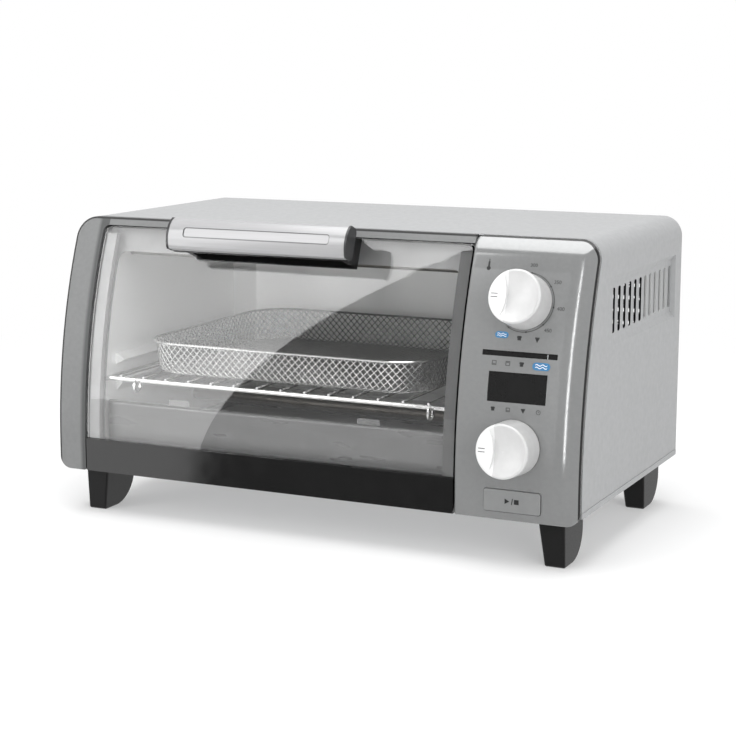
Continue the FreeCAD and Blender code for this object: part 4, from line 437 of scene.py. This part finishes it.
NODE_MATERIALS = {
    CASING: ["casing_wrap"],
    FRAME_LACQUER: ["front_frame"],
    LACQUER: ["control_panel"],
    ZINC_SHEET: ["rear_panel", "base_plate", "fan_shroud", "motor_bracket", "fan_wheel"],
    MATT_BLACK: ["foot_front_left", "foot_front_right", "foot_rear_left", "foot_rear_right",
                 "cord_gland"],
    ZINC: ["foot_screws", "rear_screws", "handle_screws", "switch_nuts"],
    ALUMINISED: ["cavity_shell"],
    BACK_SHEET: ["cavity_back", "cavity_floor"],
    SATIN_SHEET: ["cavity_front_flange", "door_strip_left"],
    SHADED_STRIP_SHEET: ["door_strip_right"],
    TRAY_SHEET: ["crumb_tray"],
    HEATER: ["upper_heating_tubes", "lower_heating_tubes"],
    STEATITE: ["tube_holders"],
    TURNED: ["temperature_probe", "hinge_pins", "mode_shaft", "time_shaft", "fan_shaft"],
    CHROMED: ["rack"],
    STAINLESS: ["basket_mesh", "basket_rim"],
    GLASS: ["door_glass"],
    GLOSS_BLACK: ["door_rail", "handle_core", "handle_bracket"],
    HANDLE: ["handle_bar"],
    CAP_GREY: ["handle_cap_left", "handle_cap_right"],
    KNOB_PAINT: ["mode_knob", "time_knob"],
    NYLON: ["mode_switch", "time_encoder", "display_module", "board_posts"],
    GUARD: ["vent_guard"],
    BOARD: ["start_switch", "control_board", "power_board"],
    SMOKED: ["display_window", "indicator_window"],
    LAMINATION: ["fan_motor"],
    BUTTON: ["start_button"],
}


def paint_nodes():
    """Give every CAD node its material."""
    for material, names in NODE_MATERIALS.items():
        for name in names:
            mesh = frame["nodes"][name].data
            mesh.materials.clear()
            mesh.materials.append(material)


# Mesh tools

def new_object(name, data):
    """Object of the scene that holds a mesh, text, lamp or camera."""
    obj = bpy.data.objects.new(name, data)
    bpy.context.scene.collection.objects.link(obj)
    return obj


def mesh_object(name, points, faces, material):
    """Mesh object with one material."""
    mesh = bpy.data.meshes.new(name)
    mesh.from_pydata([tuple(p) for p in points], [], faces)
    mesh.update()
    mesh.materials.append(material)
    return new_object(name, mesh)


def face_outwards(obj):
    """Merge doubles and turn every face outwards."""
    shape = bmesh.new()
    shape.from_mesh(obj.data)
    bmesh.ops.remove_doubles(shape, verts=shape.verts, dist=1e-7)
    bmesh.ops.recalc_face_normals(shape, faces=shape.faces)
    shape.to_mesh(obj.data)
    shape.free()
    return obj


def evaluated_mesh(obj):
    """Plain mesh of an object with its modifiers or its text worked out."""
    depth = bpy.context.evaluated_depsgraph_get()
    return bpy.data.meshes.new_from_object(obj.evaluated_get(depth))


def modifier_tree(name, size_name):
    """Geometry tree with a size and a material as inputs: the tree, its inlet and those two."""
    tree = bpy.data.node_groups.new(name, "GeometryNodeTree")
    sockets = [tree.interface.new_socket(label, in_out=way, socket_type=kind)
               for label, way, kind in (("Geometry", "INPUT", "NodeSocketGeometry"),
                                        (size_name, "INPUT", "NodeSocketFloat"),
                                        ("Material", "INPUT", "NodeSocketMaterial"),
                                        ("Geometry", "OUTPUT", "NodeSocketGeometry"))]
    return tree, add(tree, "NodeGroupInput"), [sockets[1].identifier, sockets[2].identifier]


def hand_out(tree, inlet, geometry):
    """Merge a tree's instances, give them its material and put them out."""
    joined = add(tree, "GeometryNodeRealizeInstances", {"Geometry": geometry})
    painted = add(tree, "GeometryNodeSetMaterial", {"Geometry": joined.outputs["Geometry"],
                                                    "Material": inlet.outputs["Material"]})
    add(tree, "NodeGroupOutput", {"Geometry": painted.outputs["Geometry"]})


def grown_mesh(name, points, edges, tree, inputs, size, material):
    """Mesh object that a geometry tree makes of points and edges."""
    source = bpy.data.meshes.new(name + "_places")
    source.from_pydata([tuple(p) for p in points], edges, [])
    holder = new_object(name + "_places", source)
    modifier = holder.modifiers.new(name, "NODES")
    modifier.node_group = tree
    modifier[inputs[0]] = size
    modifier[inputs[1]] = material
    mesh = evaluated_mesh(holder)
    bpy.data.objects.remove(holder)
    bpy.data.meshes.remove(source)
    mesh.name = name
    mesh.materials.clear()
    mesh.materials.append(material)
    return new_object(name, mesh)


# Flat drawings: lists of closed outlines

def disc(x, y, radius, count=16):
    """Circle."""
    return [(x + radius * math.cos(2 * math.pi * i / count),
             y + radius * math.sin(2 * math.pi * i / count)) for i in range(count)]


def rectangle(x, y, width, height):
    """Rectangle about a middle point."""
    return [(x - width / 2, y - height / 2), (x + width / 2, y - height / 2),
            (x + width / 2, y + height / 2), (x - width / 2, y + height / 2)]


def rounded(x, y, width, height, radius, steps=6):
    """Rectangle with round corners about a middle point."""
    outline = []
    for side, (sx, sy) in enumerate(((1, 1), (-1, 1), (-1, -1), (1, -1))):
        for step in range(steps + 1):
            turn = math.pi / 2 * (side + step / steps)
            outline.append((x + sx * (width / 2 - radius) + radius * math.cos(turn),
                            y + sy * (height / 2 - radius) + radius * math.sin(turn)))
    return outline


def clockwise(radius, degrees):
    """Point at a radius and an angle clockwise from the top."""
    turn = math.radians(degrees)
    return radius * math.sin(turn), radius * math.cos(turn)


def ring_outlines(radius, width, start, end, pieces):
    """Short pieces of a ring, from a start to an end angle in degrees, clockwise from the top."""
    inner, outer = radius - width / 2, radius + width / 2
    outlines = []
    for number in range(pieces):
        first, last = [start + (end - start) * (number + side) / pieces for side in (0, 1)]
        outlines.append([clockwise(inner, first), clockwise(outer, first),
                         clockwise(outer, last), clockwise(inner, last)])
    return outlines


def number_outlines(text, height):
    """Mesh faces of a plain number, in metres about its own middle."""
    curve = bpy.data.curves.new("number", "FONT")
    curve.body = text
    curve.size = height * 1.4
    curve.align_x = "CENTER"
    curve.align_y = "CENTER"
    curve.resolution_u = 3
    temporary = new_object("number", curve)
    mesh = evaluated_mesh(temporary)
    outlines = [[(mesh.vertices[i].co.x, mesh.vertices[i].co.y) for i in face.vertices]
                for face in mesh.polygons]
    bpy.data.objects.remove(temporary)
    bpy.data.curves.remove(curve)
    bpy.data.meshes.remove(mesh)
    return outlines


def shifted(outlines, x, y):
    """Drawing moved by a step."""
    return [[(a + x, b + y) for a, b in outline] for outline in outlines]


def scaled(outlines, factor):
    """Drawing scaled about its middle."""
    return [[(a * factor, b * factor) for a, b in outline] for outline in outlines]


def placed(outlines, x, y, factor=1.0):
    """Drawing in millimetres, scaled and moved, in metres."""
    return shifted(scaled(outlines, MM * factor), x * MM, y * MM)


# Printing

INK_THICK = 0.05 * MM       # half the thickness of a printed slab, which is sunk by half


def print_slabs(name, outlines, place, material, body):
    """Printed shapes: outlines in metres, as thin slabs at a place of right, up and out."""
    points = []
    faces = []
    for outline in outlines:
        count = len(outline)
        base = len(points)
        for out in (-INK_THICK, INK_THICK):
            points += [place(right, up, out) for right, up in outline]
        faces.append([base + i for i in reversed(range(count))])
        faces.append([base + count + i for i in range(count)])
        faces += [[base + i, base + (i + 1) % count, base + count + (i + 1) % count,
                   base + count + i] for i in range(count)]
    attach(face_outwards(mesh_object(name, points, faces, material)), body)


def on_front(level, right, up, out):
    """Point of the curved front: right of the knobs' middle, up along the face from a level, and
    out of it."""
    start = FRONT_RADIUS * math.asin(max(0.0, level - ARC_START) / FRONT_RADIUS)
    arc = start + up + min(0.0, level - ARC_START)
    if arc < 0:
        return Vector((KNOB_X + right, FRONT_Y - out, ARC_START + arc))
    turn = arc / FRONT_RADIUS
    reach = FRONT_RADIUS + out
    return Vector((KNOB_X + right, FRONT_Y + FRONT_RADIUS - reach * math.cos(turn),
                   ARC_START + reach * math.sin(turn)))


def print_on_front(name, outlines, level, material, lift=0.0, body="oven"):
    """Printed shapes that follow the curved front."""
    def place(right, up, out):
        return on_front(level, right, up, out + lift)
    print_slabs(name, outlines, place, material, body)


# Signs, drawn in millimetres about their own middles

def frame_sign():
    """Oven box: a square outline of four bars."""
    return [rectangle(0, 1.3, 3.0, 0.35), rectangle(0, -1.3, 3.0, 0.35),
            rectangle(-1.33, 0, 0.35, 2.3), rectangle(1.33, 0, 0.35, 2.3)]


def bake_sign():
    """Oven box with heat from below."""
    return frame_sign() + [rectangle(0, -0.6, 1.8, 0.35)]


def grill_sign():
    """Oven box with heat from above."""
    return frame_sign() + [rectangle(0, 0.6, 1.8, 0.35)]


def toast_sign():
    """Slice of bread."""
    return [rounded(0, 0.75, 3.2, 1.5, 0.7), rectangle(0, -0.6, 2.4, 1.6)]


def wedge_sign():
    """Wedge of pizza, with its crust."""
    return [[(-1.5, 1.0), (0.0, -1.8), (1.5, 1.0)], rounded(0, 1.35, 3.2, 0.6, 0.28)]


def clock_sign():
    """Clock face with two hands."""
    hands = [rectangle(0, 0.45, 0.3, 1.0), rectangle(0.35, 0, 0.8, 0.3)]
    return ring_outlines(1.45, 0.35, 0, 360, 20) + hands


def wave_sign():
    """Two wavy strokes of moving air."""
    half_length, half_stroke, rise, steps = 3.9, 0.22, 0.5, 12
    strokes = []
    for level in (-0.8, 0.8):
        for step in range(steps):
            x0, x1 = [-half_length + 2 * half_length * (step + side) / steps for side in (0, 1)]
            y0, y1 = [level + rise * math.sin(x * 1.6) for x in (x0, x1)]
            strokes.append([(x0, y0 - half_stroke), (x1, y1 - half_stroke),
                            (x1, y1 + half_stroke), (x0, y0 + half_stroke)])
    return strokes


def thermometer_sign():
    """Thermometer with its bulb."""
    return [rounded(0, 0.6, 1.2, 4.6, 0.5), disc(0, -1.6, 1.35), rectangle(0, 3.6, 0.5, 1.6)]


def start_sign():
    """Triangle, stroke and square for start and stop."""
    return [[(-5.2, -1.9), (-1.7, 0.0), (-5.2, 1.9)],
            [(-0.5, -2.2), (0.1, -2.2), (0.9, 2.2), (0.3, 2.2)], rectangle(3.4, 0, 3.4, 3.4)]


# The dial round the upper knob, with angles clockwise from the top

DIAL_RADIUS = 20.6 * MM
DIAL_LINE = 0.45 * MM
DIAL_DOT = 0.6 * MM
DIAL_START, DIAL_END = -5, 215
NUMBER_REACH = 26.0 * MM
NUMBER_TALL = 2.6 * MM
NUMBERS = {"300": 6, "350": 55, "400": 97, "450": 135}
FUNCTIONS = (172, 209)

# Marks beside the dial and the windows: millimetres right of the knobs' middle, and up along the
# face from this level

MARK_LEVEL = CASING_LOW + 100 * MM
DIAL_PILL = (-14.3, 22.2)
WINDOW_PILL = (16.2, 2.4)
DIVIDER = (20.3, 9.3)
PANEL_SIGNS = [         # drawing, place and scale
    (thermometer_sign(), -30.1, 69.5, 1.1),
    (toast_sign(), -1.5, 20.6, 1.05), (wedge_sign(), 11.5, 20.2, 1.05),
    (bake_sign(), -18.0, 2.9, 1.05), (grill_sign(), -8.0, 2.9, 1.05),
    (toast_sign(), 2.0, 2.9, 1.05), (toast_sign(), -16.5, -28.6, 0.95),
    (bake_sign(), -5.5, -28.6, 0.95), (wedge_sign(), 5.5, -28.6, 0.95),
    (clock_sign(), 16.5, -28.6, 1.0)]
OVER_LIFT = 0.06 * MM               # ink printed over other ink or on a window
BUTTON_LEVEL = CASING_LOW + 9 * MM
BUTTON_LIFT = 0.72 * MM             # the button's face, out of the panel

# Inked grooves of the knobs, from their axes

KNOB_GROOVE = 22.75 * MM            # joint to the grooves' bottoms
KNOB_LINE_X = -14.3 * MM
KNOB_LINE_Z = 1.15 * MM
KNOB_LINE = (4.8 * MM, 0.5 * MM)


def print_panel():
    """Everything printed on the control panel and its parts."""
    numbers = []
    for text, clock in NUMBERS.items():
        numbers += shifted(number_outlines(text, NUMBER_TALL), *clockwise(NUMBER_REACH, clock))
    print_on_front("dial_numbers", numbers, MODE_Z, DARK_INK)
    ring = ring_outlines(DIAL_RADIUS, DIAL_LINE, DIAL_START, DIAL_END, 60)
    ring += [disc(*clockwise(DIAL_RADIUS, clock), DIAL_DOT)
             for clock in (*NUMBERS.values(), *FUNCTIONS)]
    print_on_front("dial_ring", ring, MODE_Z, DARK_INK)
    signs = []
    for drawing, right, up, factor in PANEL_SIGNS:
        signs += placed(drawing, right, up, factor)
    print_on_front("panel_signs", signs, MARK_LEVEL, DARK_INK)
    pills = (placed([rounded(0, 0, 9.8, 4.5, 2.2)], *DIAL_PILL)
             + placed([rounded(0, 0, 12.8, 5.3, 2.6)], *WINDOW_PILL))
    print_on_front("blue_marks", pills, MARK_LEVEL, BLUE_INK)
    waves = placed(wave_sign(), *DIAL_PILL, 0.85) + placed(wave_sign(), *WINDOW_PILL, 1.1)
    print_on_front("blue_mark_waves", waves, MARK_LEVEL, PALE_INK, lift=OVER_LIFT)
    divider = placed([rectangle(0, 0, 0.25, 3.2)], *DIVIDER)
    print_on_front("indicator_divider", divider, MARK_LEVEL, PALE_INK, lift=OVER_LIFT)
    print_on_front("start_marks", scaled(start_sign(), MM), BUTTON_LEVEL, DARK_INK,
                   lift=BUTTON_LIFT, body="start_button")


def mark_knobs():
    """Dark ink in the two short grooves of each knob's flat part."""
    lines = [rectangle(KNOB_LINE_X, side * KNOB_LINE_Z, *KNOB_LINE) for side in (-1, 1)]
    for body in ("mode_knob", "time_knob"):
        hinge = joint(body + "_turn")
        centre = Vector(hinge["pos_m"])
        outward = -Vector(hinge["axis"])
        upward = Vector((1.0, 0.0, 0.0)).cross(outward)

        def place(right, up, out):
            return (centre + Vector((right, 0.0, 0.0)) + upward * up
                    + outward * (KNOB_GROOVE + out))
        print_slabs(body + "_marks", lines, place, DARK_INK, body)


# Basket

BASKET_CORNER = 32.5 * MM
BASKET_SLOPE = 2.6 * MM     # how far the walls draw in
BASKET_BEND = 5.0 * MM      # from the bottom into the walls
NET_WALL = 0.5 * MM         # outline to the middle of the wires
NET_WIRE = 0.8 * MM
CELL_WIDE = 5.6 * MM
CELL_TALL = 5.5 * MM
OUTLINE_STEPS = 360
CLIMB_STEPS = 40


def ring_point(fraction, half_x, half_y, radius):
    """Point of a rounded rectangle's outline at a fraction of its length, from its right side."""
    straight_x = half_x - radius
    straight_y = half_y - radius
    bend = math.pi / 2 * radius
    # Each side's length, start and heading, and the corner after it
    sides = [(2 * straight_y, (half_x, -straight_y), (0, 1), (1, 1)),
             (2 * straight_x, (straight_x, half_y), (-1, 0), (-1, 1)),
             (2 * straight_y, (-half_x, straight_y), (0, -1), (-1, -1)),
             (2 * straight_x, (-straight_x, -half_y), (1, 0), (1, -1))]
    along = (fraction % 1.0) * sum(side[0] + bend for side in sides)
    for number, (length, start, heading, corner) in enumerate(sides):
        if along <= length:
            return start[0] + heading[0] * along, start[1] + heading[1] * along
        along -= length
        if along <= bend:
            turn = math.pi / 2 * number + along / radius
            return (corner[0] * straight_x + radius * math.cos(turn),
                    corner[1] * straight_y + radius * math.sin(turn))
        along -= bend
    return sides[0][1]


def basket_point(fraction, share):
    """Point of the basket's wall round its outline, from 0 at the bottom's bend to 1 at the rim."""
    size = BASKET_HIGH - BASKET_LOW
    centre = (BASKET_LOW + BASKET_HIGH) / 2
    height = size.z - NET_WALL * 2
    lean = math.atan2(height, BASKET_SLOPE)
    tangent = BASKET_BEND * math.tan(lean / 2)
    arc = BASKET_BEND * lean
    run = math.hypot(height, BASKET_SLOPE) - tangent
    along = share * (arc + run)
    turn = min(along / BASKET_BEND, lean)
    straight = max(0.0, along - arc)
    inward = BASKET_SLOPE + tangent - BASKET_BEND * math.sin(turn) - straight * math.cos(lean)
    rise = BASKET_BEND * (1 - math.cos(turn)) + straight * math.sin(lean)
    x, y = ring_point(fraction, size.x / 2 - NET_WALL - inward, size.y / 2 - NET_WALL - inward,
                      BASKET_CORNER - inward)
    return Vector((centre.x + x, centre.y + y, BASKET_LOW.z + NET_WALL + rise))


def basket_outline(share):
    """Closed outline of the basket at a share of its wall, as pairs of neighbouring points."""
    outline = [basket_point(i / OUTLINE_STEPS, share) for i in range(OUTLINE_STEPS)]
    return list(zip(outline, outline[1:] + outline[:1]))


def wall_wires(points, edges):
    """Wires that climb the basket's walls both ways and cross into diamonds."""
    columns = round(sum((a - b).length for a, b in basket_outline(1.0)) / CELL_WIDE)
    climb = [basket_point(0.0, i / CLIMB_STEPS) for i in range(CLIMB_STEPS + 1)]
    rows = round(sum((a - b).length for a, b in zip(climb, climb[1:])) / (CELL_TALL / 2))
    for way in (1, -1):
        for column in range(columns):
            for row in range(rows + 1):
                points.append(basket_point((column + way * row / 2) / columns, row / rows))
                if row:
                    edges.append((len(points) - 2, len(points) - 1))


def bottom_wires(points, edges):
    """Straight wires of the bottom, cut off at the outline where its bend starts."""
    outline = basket_outline(0.0)
    centre = sum((a for a, _ in outline), Vector()) / len(outline)
    steep = CELL_WIDE / CELL_TALL
    reach = max(abs(a.x - centre.x) + abs(a.y - centre.y) * steep for a, _ in outline)
    count = int(reach / CELL_WIDE)
    for way in (1, -1):
        for number in range(-count, count + 1):
            crossings = []
            for pair in outline:
                side_a, side_b = [p.x - centre.x - way * (p.y - centre.y) * steep
                                  - number * CELL_WIDE for p in pair]
                if (side_a < 0) != (side_b < 0):
                    crossings.append(pair[0].lerp(pair[1], side_a / (side_a - side_b)))
            if len(crossings) == 2:
                edges.append((len(points), len(points) + 1))
                points += crossings


def wire_tree(name):
    """Geometry tree that turns edges into wires of a named thickness."""
    tree, inlet, inputs = modifier_tree(name, "Wire radius")
    curves = add(tree, "GeometryNodeMeshToCurve", {"Mesh": inlet.outputs["Geometry"]})
    section = add(tree, "GeometryNodeCurvePrimitiveCircle",
                  {"Resolution": 6, "Radius": inlet.outputs["Wire radius"]})
    wires = add(tree, "GeometryNodeCurveToMesh",
                {"Curve": curves.outputs["Curve"], "Profile Curve": section.outputs["Curve"],
                 "Fill Caps": True})
    smooth = add(tree, "GeometryNodeSetShadeSmooth", {"Geometry": wires.outputs["Mesh"]})
    hand_out(tree, inlet, smooth.outputs["Geometry"])
    return tree, inputs


def weave_basket():
    """Diamond net of the basket."""
    points = []
    edges = []
    wall_wires(points, edges)
    bottom_wires(points, edges)
    net = grown_mesh("basket_net", points, edges, *wire_tree("basket_wires"), NET_WIRE / 2,
                     STAINLESS)
    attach(net, "rack")
    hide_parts("basket_mesh")


# Screws of the back

HEAD_RADIUS = 3.5 * MM
HEAD_DOME = 0.6             # height of a head, in radii
CROSS_LONG = 4.2 * MM
CROSS_DEEP = 2.4 * MM
CROSS_WIDE = 0.9 * MM
CROSS_OUT = 2.2 * MM        # middle of the head to the middle of its cross


def screw_tree(name):
    """Geometry tree that puts a cross-headed screw head on every point."""
    tree, inlet, inputs = modifier_tree(name, "Head radius")
    dome = add(tree, "GeometryNodeMeshUVSphere", {"Segments": 24, "Rings": 12,
                                                  "Radius": inlet.outputs["Head radius"]})
    head = add(tree, "GeometryNodeTransform", {"Geometry": dome.outputs["Mesh"],
                                               "Scale": (1.0, HEAD_DOME, 1.0)})
    recess = add(tree, "GeometryNodeMeshBoolean", operation="DIFFERENCE")
    tree.links.new(head.outputs["Geometry"], recess.inputs["Mesh 1"])
    for size in ((CROSS_LONG, CROSS_DEEP, CROSS_WIDE), (CROSS_WIDE, CROSS_DEEP, CROSS_LONG)):
        bar = add(tree, "GeometryNodeMeshCube", {"Size": size})
        moved = add(tree, "GeometryNodeTransform", {"Geometry": bar.outputs["Mesh"],
                                                    "Translation": (0.0, CROSS_OUT, 0.0)})
        tree.links.new(moved.outputs["Geometry"], recess.inputs["Mesh 2"])
    heads = add(tree, "GeometryNodeInstanceOnPoints",
                {"Points": inlet.outputs["Geometry"], "Instance": recess.outputs["Mesh"]})
    hand_out(tree, inlet, heads.outputs["Instances"])
    return tree, inputs


def island_middles(node):
    """Middle of each separate solid of a CAD node, in the order of their first points."""
    shape = bmesh.new()
    shape.from_mesh(frame["nodes"][node].data)
    bmesh.ops.remove_doubles(shape, verts=shape.verts, dist=1e-6)
    middles = []
    seen = set()
    for first in shape.verts:
        if first in seen:
            continue
        seen.add(first)
        found = [first]
        group = []
        while found:
            vert = found.pop()
            group.append(vert.co.copy())
            for edge in vert.link_edges:
                other = edge.other_vert(vert)
                if other not in seen:
                    seen.add(other)
                    found.append(other)
        middles.append(Vector([(min(p[i] for p in group) + max(p[i] for p in group)) / 2
                               for i in range(3)]))
    shape.free()
    return middles


def fit_rear_screws():
    """Cross-headed screws in place of the plain ones, ending where they end."""
    head_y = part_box("rear_screws")[1].y - HEAD_RADIUS * HEAD_DOME
    places = [(p.x, head_y, p.z) for p in island_middles("rear_screws")]
    heads = grown_mesh("rear_screw_heads", places, [], *screw_tree("cross_heads"), HEAD_RADIUS,
                       ZINC)
    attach(heads, "oven")
    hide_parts("rear_screws")


# Stage, lights and camera

WHITE = srgb("#ffffff")
FLOOR_SIZE = 60.0
SHADOW_REACH = 0.34         # the floor glows from here outwards
WHITE_REACH = 0.95          # and is pure white from here
SHADOW_GLOW = 0.3           # share of that glow near the oven
FILL = 0.5                  # the room's light on the oven
ROOM = 0.35                 # brightness of the room in front of the oven, when mirrored
ROOM_START, ROOM_FULL = -0.3, -0.62     # Y of the directions where it starts and is full
LENS = 89.0
SENSOR = 36.0
# From the middle of the front's lower edge
CAMERA_PLACE = Vector((597.49, -1130.52, 316.46)) * MM
CAMERA_TARGET = Vector((-14.63, 140.0, 65.74)) * MM


def seen_rays(tree):
    """1 for camera, glossy and transmission rays, which see the white studio."""
    path = add(tree, "ShaderNodeLightPath").outputs
    both = calculate(tree, "MAXIMUM", path["Is Camera Ray"], path["Is Glossy Ray"])
    return calculate(tree, "MAXIMUM", both, path["Is Transmission Ray"])


def make_floor():
    """Pale floor that keeps the oven's shadow near it and turns pure white away from it."""
    material, tree, output = new_material("pale_studio_floor")
    away = calculate_vector(tree, "LENGTH", object_point(tree))
    white = ramp(tree, away, SHADOW_REACH, WHITE_REACH, SHADOW_GLOW, kind="SMOOTHSTEP")
    paper = add(tree, "ShaderNodeBsdfDiffuse", {"Color": srgb("#f4f4f4")})
    glow = add(tree, "ShaderNodeEmission", {"Color": WHITE, "Strength": 1.0})
    mixed = mix_shader(tree, calculate(tree, "MULTIPLY", seen_rays(tree), white),
                       paper.outputs["BSDF"], glow.outputs["Emission"])
    tree.links.new(mixed, output.inputs["Surface"])
    half = FLOOR_SIZE / 2
    floor = mesh_object("floor", [(-half, -half, 0), (half, -half, 0), (half, half, 0),
                                  (-half, half, 0)], [(0, 1, 2, 3)], material)
    # The glass and the glossy rail mirror the soft box below the floor's level too.
    floor.visible_glossy = False


def background(tree, strength):
    """White light from all round."""
    return add(tree, "ShaderNodeBackground", {"Color": WHITE, "Strength": strength}
               ).outputs["Background"]


def make_world():
    """White studio, whose room in front of the oven is dim when it is mirrored."""
    world = bpy.data.worlds.new("studio")
    bpy.context.scene.world = world
    world.use_nodes = True
    tree = world.node_tree
    tree.nodes.clear()
    studio = mix_shader(tree, seen_rays(tree), background(tree, FILL), background(tree, 1.0))
    direction = add(tree, "ShaderNodeTexCoord").outputs["Generated"]
    glossy = add(tree, "ShaderNodeLightPath").outputs["Is Glossy Ray"]
    ahead = ramp(tree, axes(tree, direction)["Y"], ROOM_START, ROOM_FULL)
    room = mix_shader(tree, calculate(tree, "MULTIPLY", ahead, glossy), studio,
                      background(tree, ROOM))
    tree.links.new(room, add(tree, "ShaderNodeOutputWorld").inputs["Surface"])


def soft_box(name, corner, across, up, radiance, mirrored=True):
    """Rectangular lamp from one corner and its two sides, facing the oven, seen in gloss or not."""
    corner, across, up = Vector(corner), Vector(across), Vector(up)
    lamp = bpy.data.lights.new(name, "AREA")
    lamp.shape = "RECTANGLE"
    lamp.size = across.length
    lamp.size_y = up.length
    lamp.energy = radiance * math.pi * across.length * up.length
    place = corner + across / 2 + up / 2
    x_axis = across.normalized()
    y_axis = (up - x_axis * up.dot(x_axis)).normalized()
    z_axis = x_axis.cross(y_axis)
    if z_axis.dot(-place) > 0:
        x_axis, z_axis = -x_axis, -z_axis
    obj = new_object(name, lamp)
    obj.matrix_world = Matrix((x_axis, y_axis, z_axis)).transposed().to_4x4()
    obj.location = place
    obj.visible_camera = False
    obj.visible_glossy = mirrored


def make_lights():
    """Lamps round the oven."""
    # The left soft box shows in the glass, and its slanting right edge crosses the door.
    soft_box("left_box", (-1.04, -1.60, -0.63), (-0.86, 0.0, 0.157), (0.40, 0.0, 2.20), 3.0)
    soft_box("top_box", (-0.9, -1.4, 1.9), (1.8, 0.0, 0.0), (0.0, 2.2, 0.0), 3.1)
    soft_box("right_box", (1.0, -1.5, 0.1), (0.8, 0.6, 0.0), (0.0, 0.0, 1.2), 4.0,
             mirrored=False)
    # A tall narrow strip draws the thin bright line down the panel's right border.
    soft_box("strip_box", (-0.17, -1.60, -0.1), (0.055, 0.0, 0.0), (0.0, 0.0, 1.35), 9.0)


def make_camera():
    """Camera at the photograph's viewing angle."""
    origin = Vector((0.0, FRONT_Y, CASING_LOW))
    place = origin + CAMERA_PLACE
    target = origin + CAMERA_TARGET
    data = bpy.data.cameras.new("camera")
    data.lens = LENS
    data.sensor_width = SENSOR
    camera = new_object("camera", data)
    camera.location = place
    camera.rotation_euler = (target - place).to_track_quat("-Z", "Y").to_euler()
    bpy.context.scene.camera = camera
    bpy.context.scene.view_settings.view_transform = "Standard"


make_camera()
paint_nodes()
print_panel()
mark_knobs()
weave_basket()
fit_rear_screws()
make_floor()
make_world()
make_lights()
